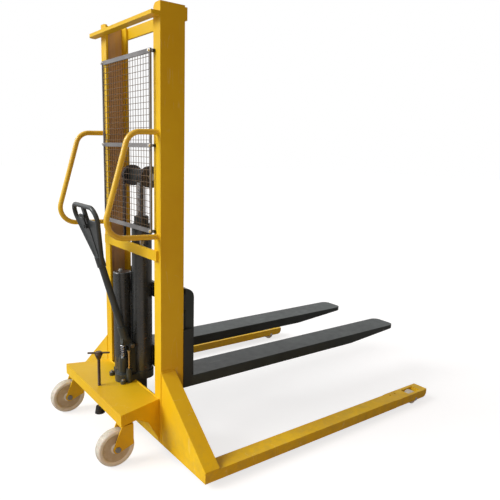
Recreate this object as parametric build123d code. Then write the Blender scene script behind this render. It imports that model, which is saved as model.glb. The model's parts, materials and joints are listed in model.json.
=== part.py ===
"""Hand-pumped wide-straddle pallet stacker, one STEP file per piece.

Frame: +Z up, +Y towards the fork tips, +X to the operator's right.  The pieces are modelled with
Y = 0 on the rear face of the mast and Z = 0 on the floor, and moved once, at export, so that the
origin is the middle of the machine's footprint.  Lengths are in millimetres.
"""
import math
import os
from build123d import *

# ---------------------------------------------------------------- driving dimensions
# Mast: two rolled channels standing with their open sides facing each other
MAST_HEIGHT = 2085.0
MAST_HALF_WIDTH = 333.7
CHANNEL_DEPTH = 120.5
CHANNEL_FLANGE = 66.3
CHANNEL_FLANGE_T = 11.0
CHANNEL_WEB_T = 8.0
CHANNEL_TOP_CORNER = 25.0
FRAME_BOTTOM = 28.0
PLATE_T = 8.0

TOP_FRONT_T = 12.0
TOP_FRONT_DROP = 7.0
TOP_FRONT_HEIGHT = 55.0
TOP_REAR_DROP = 43.0
TOP_REAR_T = 17.0
TOP_REAR_DEPTH = 42.0
TOP_REAR_OVERHANG = 76.0
TOP_REAR_CORNER = 30.0
CROSSBAR_T = 12.0
CROSSBAR_INSET = 23.7
CROSSBAR_Z = (945.0, 993.0)

# Chassis: base plate, lower cross member, outriggers and straddle legs
BASE_TOP = 259.0
BASE_LENGTH = 223.5
BASE_REAR_HALF_WIDTH = 377.0
BASE_FRONT_INSET = 19.7
BASE_LIP_BOTTOM = 204.0
BOX_DEPTH = 75.0
SHELF_TOP = 190.0
OUTRIGGER_TOP = 401.0
OUTRIGGER_END_RISE = 5.0
LEG_HALF_SPAN = 747.0
LEG_WIDTH = 88.5
LEG_HEIGHT = 49.0
LEG_WALL = 6.0
LEG_NOSE_Y = 1580.0
LEG_TIP_LENGTH = 282.0
LEG_TIP_FLARE = 4.0
LEG_FLARE_RUN = 24.0
LEG_NOSE_RADIUS = 32.0
LEG_HOLE_RADIUS = 6.0
LEG_HOLE_STEPS = (20.0, 62.0)
GUSSET_BEND_Y = -134.0
GUSSET_KNEE_Y = -68.0
GUSSET_KNEE_Z = 162.0
GUSSET_FOOT_Z = 58.0

# Load rollers in the leg tips
LEG_ROLLER_RADIUS = 37.0
LEG_ROLLER_WIDTH = 50.0
LEG_ROLLER_SETBACK = 102.0
LEG_ROLLER_BEVEL = 2.0
LEG_SLOT_LENGTH = 104.0
LEG_AXLE_RADIUS = 10.0

# Swivel casters
CASTER_REAR_INSET = 37.5
CASTER_HOUSING_GAP = 3.43
CASTER_TRAIL = 50.0
CASTER_WHEEL_RADIUS = 90.0
CASTER_WHEEL_WIDTH = 50.0
CASTER_HUB_WALL = 12.0
CASTER_DISH = 9.0
CASTER_DISH_SLOPE = 4.0
CASTER_RIM_T = 19.0
CASTER_RIM_SINK = 3.0
CASTER_TYRE_T = 8.0
CASTER_TYRE_SINK = 2.0
CASTER_TYRE_SHOULDER = 7.0
CASTER_HOUSING_RADIUS = 24.0
CASTER_HOUSING_BOTTOM = 200.0
CASTER_STEM_RADIUS = 14.0
CASTER_CROWN_T = 11.0
CASTER_CROWN_CORNER = 8.0
CASTER_THRUST_T = 2.0
CASTER_ARM_T = 6.0
CASTER_ARM_SKIRT = 8.0
CASTER_ARM_INSET = 2.0
CASTER_ARM_LAP = 6.0
CASTER_AXLE_RADIUS = 10.0
CASTER_NUT_WALL = 5.0
CASTER_NUT_T = 8.0

# Push handles and guard
HANDLE_INSET = 24.7
HANDLE_RADIUS = 12.5
HANDLE_TOP_Z = 1536.0
HANDLE_BOTTOM_Z = 1061.0
HANDLE_TOP_REACH = 138.0
HANDLE_BOTTOM_REACH = 272.0
HANDLE_TOP_DROP = 5.0
HANDLE_BOTTOM_RISE = 7.0
HANDLE_TOP_BEND = 70.0
HANDLE_BOTTOM_BEND = 80.0
GUARD_LAP = 10.6
GUARD_BAR = 8.0
GUARD_RAIL_HEIGHT = 20.0
GUARD_LOWER_RAILS_Z = (1073.0, 1466.0)
GUARD_TOP_DROP = 209.0
GUARD_STANDOFF = 14.0
GUARD_LUG_LAP = 20.0
GUARD_LUG_INSET = 4.0
MESH_PITCH = 28.0
MESH_WIRE_RADIUS = 1.2
GUARD_BOLT_RADIUS = 4.0
GUARD_BOLT_INSET = 6.0

# Hydraulic unit
CYLINDER_Y = 62.0
JACKET_RADIUS = 51.0
JACKET_WALL = 7.0
JACKET_TOP = 1062.0
LINER_OUTER_RADIUS = 33.0
LINER_BORE_RADIUS = 25.0
LINER_TOP = 1085.0
GLAND_RADIUS = 36.0
GLAND_TOP = 1123.0
GLAND_BEVEL = 3.0
CASTING_TOP = 300.0
CASTING_STEP = 8.0
JACKET_LOBE = 6.0
TANK_LOBE = 5.0
TANK_SEAT_DEPTH = 14.0
BARREL_LOBE = 20.0
PUMP_BODY_FRONT_Y = 52.0
KEEL_HALF_WIDTH = 42.0
LUG_RADIUS = 14.0
LUG_HEIGHT = 18.0
FOOT_BOLT_RADIUS = 5.0
TANK_BOLT_BEARINGS = (195.0, 262.0)
PUMP_BOLT_BEARING = 335.0
RESERVOIR_X = -80.0
RESERVOIR_Y = -12.0
RESERVOIR_RADIUS = 46.0
RESERVOIR_TOP = 826.0
RESERVOIR_WALL = 4.0
RESERVOIR_CORNER = 7.0
PLUG_RADIUS = 11.0
PLUG_T = 4.0
PLUG_HEX_RADIUS = 8.0
PLUG_HEX_T = 6.0
PUMP_Y = -48.0
BARREL_RADIUS = 23.0
BARREL_TOP = 385.0
PLUNGER_RADIUS = 10.0
PLUNGER_CAP_RADIUS = 16.0
PLUNGER_CAP_T = 6.0
PLUNGER_DEPTH = 36.0
BARREL_DEPTH = 150.0
SPRING_WIRE = 4.0
SPRING_RADIUS = 15.0
SPRING_TURNS = 4.5
VALVE_X = 46.0
VALVE_Y = -36.0
VALVE_RADIUS = 5.0
VALVE_TOP = 424.0
VALVE_CAP_RADIUS = 8.0
VALVE_CAP_T = 8.0
VALVE_DEPTH = 16.0
VALVE_BOSS = 10.0
VALVE_BOSS_RISE = 32.0

# Ram, crosshead and chain sheaves
ROD_RADIUS = 22.5
PISTON_LENGTH = 30.0
PISTON_TOP = 460.0
SHEAVE_Z = 1325.0
SHEAVE_X = 102.0
SHEAVE_RADIUS = 53.0
SHEAVE_WIDTH = 24.0
SHEAVE_PIN_RADIUS = 12.5
SHEAVE_PIN_GRIP = 38.0
SHEAVE_PIN_COLLAR = 5.0
CHAIN_PITCH_RADIUS = 47.0
CHAIN_WIDTH = 16.0
CHAIN_HEIGHT = 12.0
CROSSHEAD_HALF_DEPTH = 26.0
CROSSHEAD_HALF_HEIGHT = 32.0
CROSSHEAD_BEVEL = 10.0
CROSSHEAD_SOCKET_WALL = 12.0
CROSSHEAD_SOCKET_DROP = 8.0
ANCHOR_TOP = 1012.0
ANCHOR_BRACKET_DROP = 20.0
ANCHOR_BRACKET_T = 12.0
ANCHOR_CLEVIS_HEIGHT = 15.0
ANCHOR_STUD_RADIUS = 7.0
ANCHOR_STUD_DROP = 34.0
ANCHOR_CLEVIS_DEPTH = 17.0

# Carriage and forks
CARRIAGE_PLATE_T = 18.0
CARRIAGE_FRONT_GAP = 1.5
CARRIAGE_SIDE_GAP = 5.4
CARRIAGE_TOP = 768.0
CARRIAGE_SIDE_BOTTOM = 525.0
CARRIAGE_UPPER_Z = 690.0
CARRIAGE_LOWER_Z = (300.0, 420.0)
UPPER_ROLLER_Z = 720.0
LOWER_ROLLER_Z = 570.0
MAST_ROLLER_WIDTH = 40.0
MAST_ROLLER_GAP = 0.5
MAST_ROLLER_ROUND = 3.0
ROLLER_INSET = 5.0
ROLLER_PIN_RADIUS = 15.0
ROLLER_PIN_COLLAR = 6.0
CHEEK_MARGIN = 16.0
CHEEK_STRIP = 22.0
CHAIN_LUG_MARGIN = 7.0
FORK_OVERHANG = 2.8
FORK_WIDTH = 171.5
FORK_TOP = 349.0
FORK_DEPTH = 55.0
FORK_WALL = 9.0
FORK_TIP_Y = 1746.0
FORK_TIP_DEPTH = 22.0
FORK_TAPER_LENGTH = 420.0
FORK_TIP_RADIUS = 45.0
SHANK_FRONT_Y = 188.0
SHANK_TOP = 796.0
SHANK_FACE_T = 14.0
SHANK_TOP_RADIUS = 46.0
SIDE_PLATE_T = 18.0
SIDE_PLATE_TOP = 595.0
SIDE_PLATE_BEVEL = 6.0
SIDE_PLATE_FRONT_Y = 172.0

# Tiller, which drives the pump
FULCRUM_Y = -8.0
FULCRUM_Z = 446.0
FULCRUM_PIN_RADIUS = 8.0
EAR_RADIUS = 16.0
EAR_T = 10.0
YOKE_HALF_WIDTH = 18.0
HEEL_RISE = 16.0
HEEL_RADIUS = 10.0
YOKE_RELIEF = 3.0
YOKE_NECK_RISE = 6.0
TILLER_PIN_HEAD_T = 4.0
TILLER_PIN_HEAD_LIP = 3.0
TILLER_LEAN = 16.2
TILLER_FOOT_Y = -25.0
TILLER_RADIUS = 17.0
TILLER_WALL = 3.5
SOCKET_RADIUS = 22.0
SOCKET_RANGE = (35.0, 112.0)
SOCKET_FLOOR = 16.0
TILLER_COLLAR = (452.0, 505.0)
COLLAR_CAP = 12.0
COLLAR_WALL = 5.0
LOOP_TOP = 768.0
LOOP_HALF_WIDTH = 175.0
LOOP_TUBE_RADIUS = 11.0
LOOP_CORNER_RADIUS = 50.0
SPINE_WIDTH = 28.0
SPINE_T = 14.0
WEB_TOP = 700.0
WEB_T = 8.0
LEVER_PIVOT = 668.0
LEVER_LENGTH = 62.0
LEVER_WIDTH = 16.0
LEVER_T = 6.0
LEVER_PIN_RADIUS = 3.0
EAR_REACH = 15.0
PADDLE_HALF_WIDTH = 30.0
PADDLE_HEIGHT = 14.0

# Screw-down floor lock between the casters
LOCK_REAR_INSET = 44.5
LOCK_SCREW_RADIUS = 8.0
LOCK_NUT_RADIUS = 20.0
LOCK_FOOT_RADIUS = 25.0
LOCK_FOOT_TAPER = 6.0
LOCK_FOOT_Z = (109.0, 145.0)
LOCK_SOCKET_DEPTH = 14.0
LOCK_HUB_Z = (402.0, 428.0)
LOCK_HUB_RADIUS = 20.0
LOCK_CAP_INSET = 4.0
LOCK_CAP_T = 13.0
LOCK_BAR_LENGTH = 108.0
LOCK_BAR_RADIUS = 5.0
LOCK_BAR_TURN = 62.0

# Bolts: thickness of heads and washers, and a hexagon's corner radius over its bolt's radius
BOLT_HEAD_T = 7.0
WASHER_T = 2.0
HEX_OVER_BOLT = 1.7

# Clearances
RUNNING = 0.05          # radial, pin or shaft in its bore
BODY_GAP = 0.3          # between pieces that move past each other
WHEEL_SIDE_GAP = 3.0    # each side of a wheel in its fork or pocket
SHEAVE_SIDE_GAP = 1.0   # each side of a chain sheave on its pin
EAR_SIDE_GAP = 1.0      # each side of the tiller's yoke between its ears
POCKET_GAP = 5.0        # round a leg roller's tread

# ---------------------------------------------------------------- derived values
CHANNEL_INNER_X = MAST_HALF_WIDTH - CHANNEL_FLANGE
CROSSBAR_HALF_WIDTH = MAST_HALF_WIDTH - CROSSBAR_INSET
BASE_FRONT_HALF_WIDTH = MAST_HALF_WIDTH - BASE_FRONT_INSET
BASE_UNDERSIDE = BASE_TOP - PLATE_T
BASE_REAR_Y = -BASE_LENGTH
LOCK_Y = BASE_REAR_Y + LOCK_REAR_INSET
LEG_INNER_X = LEG_HALF_SPAN - LEG_WIDTH
LEG_CENTRE_X = LEG_HALF_SPAN - LEG_WIDTH / 2
LEG_TOP = FRAME_BOTTOM + LEG_HEIGHT
LEG_ROLLER_Y = LEG_NOSE_Y - LEG_ROLLER_SETBACK
CASTER_SWIVEL_Y = BASE_REAR_Y + CASTER_REAR_INSET
BASE_TAPER = (BASE_REAR_HALF_WIDTH - BASE_FRONT_HALF_WIDTH) / BASE_LENGTH
CASTER_EDGE_X = BASE_FRONT_HALF_WIDTH - BASE_TAPER * CASTER_SWIVEL_Y
CASTER_X = CASTER_EDGE_X - PLATE_T - CASTER_HOUSING_GAP - CASTER_HOUSING_RADIUS
CASTER_AXLE_Y = CASTER_SWIVEL_Y - CASTER_TRAIL
HANDLE_X = MAST_HALF_WIDTH - HANDLE_INSET
MAST_ROLLER_Y = CHANNEL_DEPTH / 2
MAST_ROLLER_RADIUS = CHANNEL_DEPTH / 2 - CHANNEL_FLANGE_T - MAST_ROLLER_GAP
MAST_ROLLER_INNER_X = CHANNEL_INNER_X + ROLLER_INSET
CARRIAGE_SIDE_X = CHANNEL_INNER_X - CARRIAGE_SIDE_GAP
CARRIAGE_REAR_Y = CHANNEL_DEPTH + CARRIAGE_FRONT_GAP
CARRIAGE_FRONT_Y = CARRIAGE_REAR_Y + CARRIAGE_PLATE_T
FORK_OUTER_X = MAST_HALF_WIDTH + FORK_OVERHANG
FORK_INNER_X = FORK_OUTER_X - FORK_WIDTH
FORK_CENTRE_X = FORK_OUTER_X - FORK_WIDTH / 2
FORK_BOTTOM = FORK_TOP - FORK_DEPTH
SHANK_OUTER_X = FORK_OUTER_X - SIDE_PLATE_T
TANK_LOBE_RADIUS = RESERVOIR_RADIUS + TANK_LOBE
BARREL_LOBE_RADIUS = BARREL_RADIUS + BARREL_LOBE
FOOT_WASHER_RADIUS = LUG_RADIUS - 3
CHAIN_REAR_Y = CYLINDER_Y - CHAIN_PITCH_RADIUS
CHAIN_FRONT_Y = CYLINDER_Y + CHAIN_PITCH_RADIUS
CROSSHEAD_HALF_WIDTH = SHEAVE_X - SHEAVE_WIDTH / 2 - SHEAVE_SIDE_GAP
SHEAVE_PIN_INNER_X = CROSSHEAD_HALF_WIDTH - SHEAVE_PIN_GRIP
HEEL_Z = FULCRUM_Z + HEEL_RISE
LEVER_Y = -SPINE_T / 2 - EAR_REACH / 2
SHAFT_FOOT = SOCKET_RANGE[0] + SOCKET_FLOOR
PLUNGER_TOP = HEEL_Z - HEEL_RADIUS - BODY_GAP
GUARD_RAILS_Z = (*GUARD_LOWER_RAILS_Z, MAST_HEIGHT - GUARD_TOP_DROP)
GUARD_HALF_WIDTH = CHANNEL_INNER_X + GUARD_LAP
GUARD_REAR_Y = -GUARD_STANDOFF - GUARD_BAR
GUARD_BOLT_X = GUARD_HALF_WIDTH - GUARD_BOLT_INSET
REAR_END = CASTER_AXLE_Y - CASTER_WHEEL_RADIUS
CENTRE_SHIFT = -(REAR_END + FORK_TIP_Y) / 2

SIDES = {"left": -1, "right": 1}


# ---------------------------------------------------------------- building blocks
def block(x0, x1, y0, y1, z0, z1):
    size = Box(abs(x1 - x0), abs(y1 - y0), abs(z1 - z0))
    return Pos((x0 + x1) / 2, (y0 + y1) / 2, (z0 + z1) / 2) * size


def rod_x(x0, x1, y, z, radius):
    return Pos((x0 + x1) / 2, y, z) * Rot(0, 90, 0) * Cylinder(radius, abs(x1 - x0))


def rod_y(x, y0, y1, z, radius):
    return Pos(x, (y0 + y1) / 2, z) * Rot(90, 0, 0) * Cylinder(radius, abs(y1 - y0))


def rod_z(x, y, z0, z1, radius):
    return Pos(x, y, (z0 + z1) / 2) * Cylinder(radius, abs(z1 - z0))


def side_profile(points, x0, x1):
    """A plate whose outline is given as (y, z), between two X planes."""
    outline = Plane.YZ.offset(min(x0, x1)) * make_face(Polyline(*points, close=True))
    return extrude(outline, abs(x1 - x0))


def front_profile(points, y0, y1):
    """A plate whose outline is given as (x, z), between two Y planes."""
    outline = Plane.XZ.offset(-y1) * make_face(Polyline(*points, close=True))
    return extrude(outline, y1 - y0)


def plan_profile(points, z0, z1):
    """A plate whose outline is given as (x, y), between two Z planes."""
    return extrude(Plane.XY.offset(z0) * make_face(Polyline(*points, close=True)), z1 - z0)


def bent_tube(path, radius, bore=0.0):
    start = Plane(origin=path @ 0, z_dir=path % 0)
    tube = sweep(start * Circle(radius), path=path)
    return tube - sweep(start * Circle(bore), path=path) if bore else tube


def hex_head(radius, height):
    return extrude(RegularPolygon(radius, 6), height)


def flip(shape):
    return mirror(shape, about=Plane.YZ)


def sided(shape, side):
    """The right-hand piece, or its mirror image on the left."""
    return shape if side > 0 else flip(shape)


# ---------------------------------------------------------------- mast
def mast_channel():
    outer = block(CHANNEL_INNER_X, MAST_HALF_WIDTH, 0, CHANNEL_DEPTH, FRAME_BOTTOM, MAST_HEIGHT)
    hollow = block(CHANNEL_INNER_X - 1, MAST_HALF_WIDTH - CHANNEL_WEB_T, CHANNEL_FLANGE_T,
                   CHANNEL_DEPTH - CHANNEL_FLANGE_T, FRAME_BOTTOM - 1, MAST_HEIGHT + 1)
    channel = outer - hollow
    inner_tops = channel.edges().filter_by(Axis.Y).group_by(Axis.Z)[-1].group_by(Axis.X)[0]
    return fillet(inner_tops, CHANNEL_TOP_CORNER)


def mast_top_front_plate():
    top = MAST_HEIGHT - TOP_FRONT_DROP
    return block(-MAST_HALF_WIDTH, MAST_HALF_WIDTH, CHANNEL_DEPTH, CHANNEL_DEPTH + TOP_FRONT_T,
                 top - TOP_FRONT_HEIGHT, top)


def mast_top_rear_bar():
    """Flat bar across the rear flanges, which runs on past the left-hand upright."""
    top = MAST_HEIGHT - TOP_REAR_DROP
    bar = block(-MAST_HALF_WIDTH - TOP_REAR_OVERHANG, MAST_HALF_WIDTH, -TOP_REAR_DEPTH, 0,
                top - TOP_REAR_T, top)
    rear_left = bar.edges().filter_by(Axis.Z).group_by(Axis.X)[0].sort_by(Axis.Y)[0]
    return fillet(rear_left, TOP_REAR_CORNER)


def mast_mid_crossbar():
    return block(-CROSSBAR_HALF_WIDTH, CROSSBAR_HALF_WIDTH, -CROSSBAR_T, 0, *CROSSBAR_Z)


def lower_cross_member():
    x = CHANNEL_INNER_X
    rear = block(-x, x, 0, PLATE_T, FRAME_BOTTOM, BASE_TOP)
    shelf = block(-x, x, PLATE_T, BOX_DEPTH - PLATE_T, SHELF_TOP - PLATE_T, SHELF_TOP)
    front = block(-x, x, BOX_DEPTH - PLATE_T, BOX_DEPTH, FRAME_BOTTOM, SHELF_TOP)
    return rear + shelf + front


# ---------------------------------------------------------------- chassis
def base_half_width(y):
    """Half width of the tapered base plate at a given Y."""
    return BASE_FRONT_HALF_WIDTH - BASE_TAPER * y


def base_plate():
    rear, front = BASE_REAR_HALF_WIDTH, BASE_FRONT_HALF_WIDTH
    lip_half = base_half_width(BASE_REAR_Y + PLATE_T)
    corners = [(-rear, BASE_REAR_Y), (rear, BASE_REAR_Y), (front, 0), (-front, 0)]
    plate = plan_profile(corners, BASE_UNDERSIDE, BASE_TOP)
    lip_outline = [(-rear, BASE_REAR_Y), (rear, BASE_REAR_Y),
                   (lip_half, BASE_REAR_Y + PLATE_T), (-lip_half, BASE_REAR_Y + PLATE_T)]
    lip = plan_profile(lip_outline, BASE_LIP_BOTTOM, BASE_UNDERSIDE)
    nut = rod_z(0, LOCK_Y, BASE_LIP_BOTTOM, BASE_UNDERSIDE, LOCK_NUT_RADIUS)
    bore = rod_z(0, LOCK_Y, BASE_LIP_BOTTOM - 1, BASE_TOP + 1, LOCK_SCREW_RADIUS + RUNNING)
    base = plate + lip + nut - bore
    for x, y in foot_bolt_places():
        base -= rod_z(x, y, BASE_UNDERSIDE - 1, BASE_TOP + 1, FOOT_BOLT_RADIUS)
    return base


def base_side_plate():
    """Stiffener under the plate's tapered edge, from the rear lip down to the mast's foot."""
    y_rear = BASE_REAR_Y + PLATE_T
    outline = [(y_rear, BASE_UNDERSIDE), (y_rear, BASE_LIP_BOTTOM), (GUSSET_BEND_Y, BASE_LIP_BOTTOM),
               (GUSSET_KNEE_Y, GUSSET_KNEE_Z), (-PLATE_T, GUSSET_FOOT_Z), (0, FRAME_BOTTOM),
               (0, BASE_UNDERSIDE)]
    wall = side_profile(outline, 0, 2 * BASE_REAR_HALF_WIDTH)
    strip = plan_profile([(base_half_width(y) - inset, y) for inset, y in
                          ((0, 1), (PLATE_T, 1), (PLATE_T, BASE_REAR_Y), (0, BASE_REAR_Y))],
                         FRAME_BOTTOM, BASE_UNDERSIDE)
    return wall & strip


def leg_envelope():
    return block(LEG_INNER_X, LEG_HALF_SPAN + 1, PLATE_T, BOX_DEPTH + 1, FRAME_BOTTOM - 1, LEG_TOP)


def outrigger():
    """Box gusset, open below, that joins a mast channel to its straddle leg."""
    x0, x1, drop = MAST_HALF_WIDTH, LEG_HALF_SPAN, LEG_TOP + OUTRIGGER_END_RISE
    outer = front_profile([(x0, OUTRIGGER_TOP), (x1, drop), (x1, FRAME_BOTTOM), (x0, FRAME_BOTTOM)],
                          0, BOX_DEPTH)
    slope = math.atan2(OUTRIGGER_TOP - drop, x1 - x0)
    thick = PLATE_T / math.cos(slope)
    end = x1 - PLATE_T
    end_z = drop + PLATE_T * math.tan(slope) - thick
    inner = front_profile([(x0 - 1, OUTRIGGER_TOP - thick), (end, end_z), (end, FRAME_BOTTOM - 1),
                           (x0 - 1, FRAME_BOTTOM - 1)], PLATE_T, BOX_DEPTH - PLATE_T)
    return outer - inner - leg_envelope()


def leg_tip():
    """Flared roller housing at the end of a leg, rounded up at its nose."""
    x0, x1 = LEG_INNER_X - LEG_TIP_FLARE, LEG_HALF_SPAN + LEG_TIP_FLARE
    root = LEG_NOSE_Y - LEG_TIP_LENGTH
    flare = LEG_FLARE_RUN
    plan = plan_profile([(LEG_INNER_X, root - flare), (LEG_HALF_SPAN, root - flare), (x1, root),
                         (x1, LEG_NOSE_Y), (x0, LEG_NOSE_Y), (x0, root)], FRAME_BOTTOM, LEG_TOP)
    nose_bottom = plan.edges().filter_by(Axis.X).group_by(Axis.Y)[-1].sort_by(Axis.Z)[0]
    plan = fillet(nose_bottom, LEG_NOSE_RADIUS)
    nose_sides = plan.edges().filter_by(Axis.Z).group_by(Axis.Y)[-1]
    return fillet(nose_sides, LEG_NOSE_RADIUS / 4)


def leg():
    root = LEG_NOSE_Y - LEG_TIP_LENGTH
    bar = block(LEG_INNER_X, LEG_HALF_SPAN, PLATE_T, root, FRAME_BOTTOM, LEG_TOP) + leg_tip()
    hollow = block(LEG_INNER_X + LEG_WALL, LEG_HALF_SPAN - LEG_WALL, PLATE_T - 1, root - LEG_WALL,
                   FRAME_BOTTOM + LEG_WALL, LEG_TOP - LEG_WALL)
    half = LEG_ROLLER_WIDTH / 2 + WHEEL_SIDE_GAP
    reach = LEG_ROLLER_RADIUS + POCKET_GAP
    pocket = block(LEG_CENTRE_X - half, LEG_CENTRE_X + half, LEG_ROLLER_Y - reach, LEG_ROLLER_Y + reach,
                   FRAME_BOTTOM - 1, LEG_TOP - LEG_WALL)
    slot = block(LEG_CENTRE_X - half, LEG_CENTRE_X + half, LEG_ROLLER_Y - LEG_SLOT_LENGTH / 2,
                 LEG_ROLLER_Y + LEG_SLOT_LENGTH / 2, LEG_TOP - LEG_WALL - 1, LEG_TOP + 1)
    bore = rod_x(LEG_INNER_X - 10, LEG_HALF_SPAN + 10, LEG_ROLLER_Y, LEG_ROLLER_RADIUS, LEG_AXLE_RADIUS)
    piece = bar - hollow - pocket - slot - bore
    for step in LEG_HOLE_STEPS:
        piece -= rod_z(LEG_INNER_X + LEG_WIDTH / 4, root + step, LEG_TOP - LEG_WALL - 1, LEG_TOP + 1,
                       LEG_HOLE_RADIUS)
    return piece


def leg_roller():
    half = LEG_ROLLER_WIDTH / 2
    wheel = rod_x(LEG_CENTRE_X - half, LEG_CENTRE_X + half, LEG_ROLLER_Y, LEG_ROLLER_RADIUS,
                  LEG_ROLLER_RADIUS)
    wheel = chamfer(wheel.edges().filter_by(GeomType.CIRCLE), LEG_ROLLER_BEVEL)
    bore = rod_x(LEG_CENTRE_X - half - 1, LEG_CENTRE_X + half + 1, LEG_ROLLER_Y, LEG_ROLLER_RADIUS,
                 LEG_AXLE_RADIUS + RUNNING)
    return wheel - bore


def leg_roller_axle():
    reach = LEG_WIDTH / 2 + LEG_TIP_FLARE
    return rod_x(LEG_CENTRE_X - reach, LEG_CENTRE_X + reach, LEG_ROLLER_Y, LEG_ROLLER_RADIUS,
                 LEG_AXLE_RADIUS)


# ---------------------------------------------------------------- casters
def caster_housing():
    tube = rod_z(CASTER_X, CASTER_SWIVEL_Y, CASTER_HOUSING_BOTTOM, BASE_UNDERSIDE, CASTER_HOUSING_RADIUS)
    return tube - rod_z(CASTER_X, CASTER_SWIVEL_Y, CASTER_HOUSING_BOTTOM - 1, BASE_UNDERSIDE + 1,
                        CASTER_STEM_RADIUS + RUNNING)


def caster_fork():
    crown_top = CASTER_HOUSING_BOTTOM - BODY_GAP
    crown_bottom = crown_top - CASTER_CROWN_T
    inner = CASTER_WHEEL_WIDTH / 2 + WHEEL_SIDE_GAP
    outer = inner + CASTER_ARM_T
    head = CASTER_HOUSING_RADIUS + CASTER_ARM_T
    y0, y1 = CASTER_SWIVEL_Y - head, CASTER_SWIVEL_Y + head
    plate_top = crown_top - CASTER_THRUST_T
    crown = block(CASTER_X - outer, CASTER_X + outer, y0, y1, crown_bottom, plate_top)
    crown = fillet(crown.edges().filter_by(Axis.Z), CASTER_CROWN_CORNER)
    thrust_ring = rod_z(CASTER_X, CASTER_SWIVEL_Y, crown_bottom, crown_top,
                        CASTER_HOUSING_RADIUS - CASTER_THRUST_T)
    stem = rod_z(CASTER_X, CASTER_SWIVEL_Y, crown_bottom, BASE_UNDERSIDE - 1, CASTER_STEM_RADIUS)
    fork = crown + thrust_ring + stem
    hub = 2 * CASTER_AXLE_RADIUS
    tip_y, tip_z = CASTER_AXLE_Y, CASTER_WHEEL_RADIUS
    rear, front, root = y0 + CASTER_ARM_INSET, y1 - CASTER_ARM_INSET, crown_bottom + CASTER_ARM_LAP
    lean = math.atan2(CASTER_TRAIL, crown_bottom - CASTER_WHEEL_RADIUS)
    skirt = math.atan2(CASTER_ARM_SKIRT, front - tip_y)
    outline = [(rear, root), (front, root), (front, tip_z + CASTER_ARM_SKIRT),
               (tip_y + hub * math.sin(skirt), tip_z - hub * math.cos(skirt)),
               (tip_y - hub * math.cos(lean), tip_z + hub * math.sin(lean))]
    for x in (CASTER_X - outer, CASTER_X + inner):
        arm = side_profile(outline, x, x + CASTER_ARM_T)
        fork += arm + rod_x(x, x + CASTER_ARM_T, tip_y, tip_z, hub)
    return fork - rod_x(CASTER_X - outer - 1, CASTER_X + outer + 1, tip_y, tip_z, CASTER_AXLE_RADIUS)


def caster_wheel():
    """Moulded wheel with dished faces, a raised hub and a rounded tread."""
    r, w = CASTER_WHEEL_RADIUS, CASTER_WHEEL_WIDTH / 2
    bore = CASTER_AXLE_RADIUS + RUNNING
    hub, rim, dish = bore + CASTER_HUB_WALL, r - CASTER_RIM_T, w - CASTER_DISH
    shoulder = CASTER_TYRE_SHOULDER
    half = [(bore, 0), (bore, w), (hub, w), (hub + CASTER_DISH_SLOPE, dish),
            (rim - CASTER_DISH_SLOPE, dish), (rim, w - CASTER_RIM_SINK),
            (r - CASTER_TYRE_T, w - CASTER_TYRE_SINK), (r - CASTER_TYRE_SINK, w - shoulder),
            (r, w - 2 * shoulder), (r, 0)]
    outline = half + [(radius, -across) for radius, across in half[-2:0:-1]]
    wheel = revolve(make_face(Polyline(*outline, close=True)), Axis.Y)
    return Pos(CASTER_X, CASTER_AXLE_Y, r) * Rot(0, 0, 90) * wheel


def caster_axle():
    outer = CASTER_WHEEL_WIDTH / 2 + WHEEL_SIDE_GAP + CASTER_ARM_T
    y, z = CASTER_AXLE_Y, CASTER_WHEEL_RADIUS
    pin = rod_x(CASTER_X - outer, CASTER_X + outer, y, z, CASTER_AXLE_RADIUS)
    nut = Plane(origin=(CASTER_X + outer, y, z), x_dir=(0, 1, 0), z_dir=(1, 0, 0))
    head = Plane(origin=(CASTER_X - outer, y, z), x_dir=(0, 1, 0), z_dir=(-1, 0, 0))
    pin += nut * hex_head(CASTER_AXLE_RADIUS + CASTER_NUT_WALL, CASTER_NUT_T)
    return pin + head * hex_head(CASTER_AXLE_RADIUS + CASTER_NUT_WALL, BOLT_HEAD_T)


# ---------------------------------------------------------------- handles and guard
def push_handle():
    path = FilletPolyline((HANDLE_X, 0, HANDLE_TOP_Z),
                          (HANDLE_X, -HANDLE_TOP_REACH, HANDLE_TOP_Z - HANDLE_TOP_DROP),
                          (HANDLE_X, -HANDLE_BOTTOM_REACH, HANDLE_BOTTOM_Z + HANDLE_BOTTOM_RISE),
                          (HANDLE_X, 0, HANDLE_BOTTOM_Z), radius=(HANDLE_TOP_BEND, HANDLE_BOTTOM_BEND))
    tube = bent_tube(path, HANDLE_RADIUS)
    return tube - block(0, 2 * HANDLE_X, 0, HANDLE_RADIUS, 0, MAST_HEIGHT)


def guard_frame():
    """Flat-bar frame whose rails end on lugs that stand it off from the mast."""
    half, inner = GUARD_HALF_WIDTH, GUARD_HALF_WIDTH - GUARD_BAR
    bottom, top = GUARD_RAILS_Z[0], GUARD_RAILS_Z[-1] + GUARD_RAIL_HEIGHT
    y0, y1 = GUARD_REAR_Y, -GUARD_STANDOFF
    frame = block(-half, half, y0, y1, bottom, top)
    for low, high in zip(GUARD_RAILS_Z, GUARD_RAILS_Z[1:]):
        frame -= block(-inner, inner, y0 - 1, y1 + 1, low + GUARD_RAIL_HEIGHT, high)
    for z in GUARD_RAILS_Z:
        for side in SIDES.values():
            frame += block(side * (GUARD_BOLT_X - GUARD_BOLT_INSET), side * (CHANNEL_INNER_X + GUARD_LUG_LAP),
                           y1, 0, z + GUARD_LUG_INSET, z + GUARD_RAIL_HEIGHT - GUARD_LUG_INSET)
            frame -= rod_y(side * GUARD_BOLT_X, y0 - 1, 1, z + GUARD_RAIL_HEIGHT / 2, GUARD_BOLT_RADIUS)
    return frame


def wire_rows(low, high):
    count = max(1, round((high - low) / MESH_PITCH))
    return [low + (high - low) * (i + 0.5) / count for i in range(count)]


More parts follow.
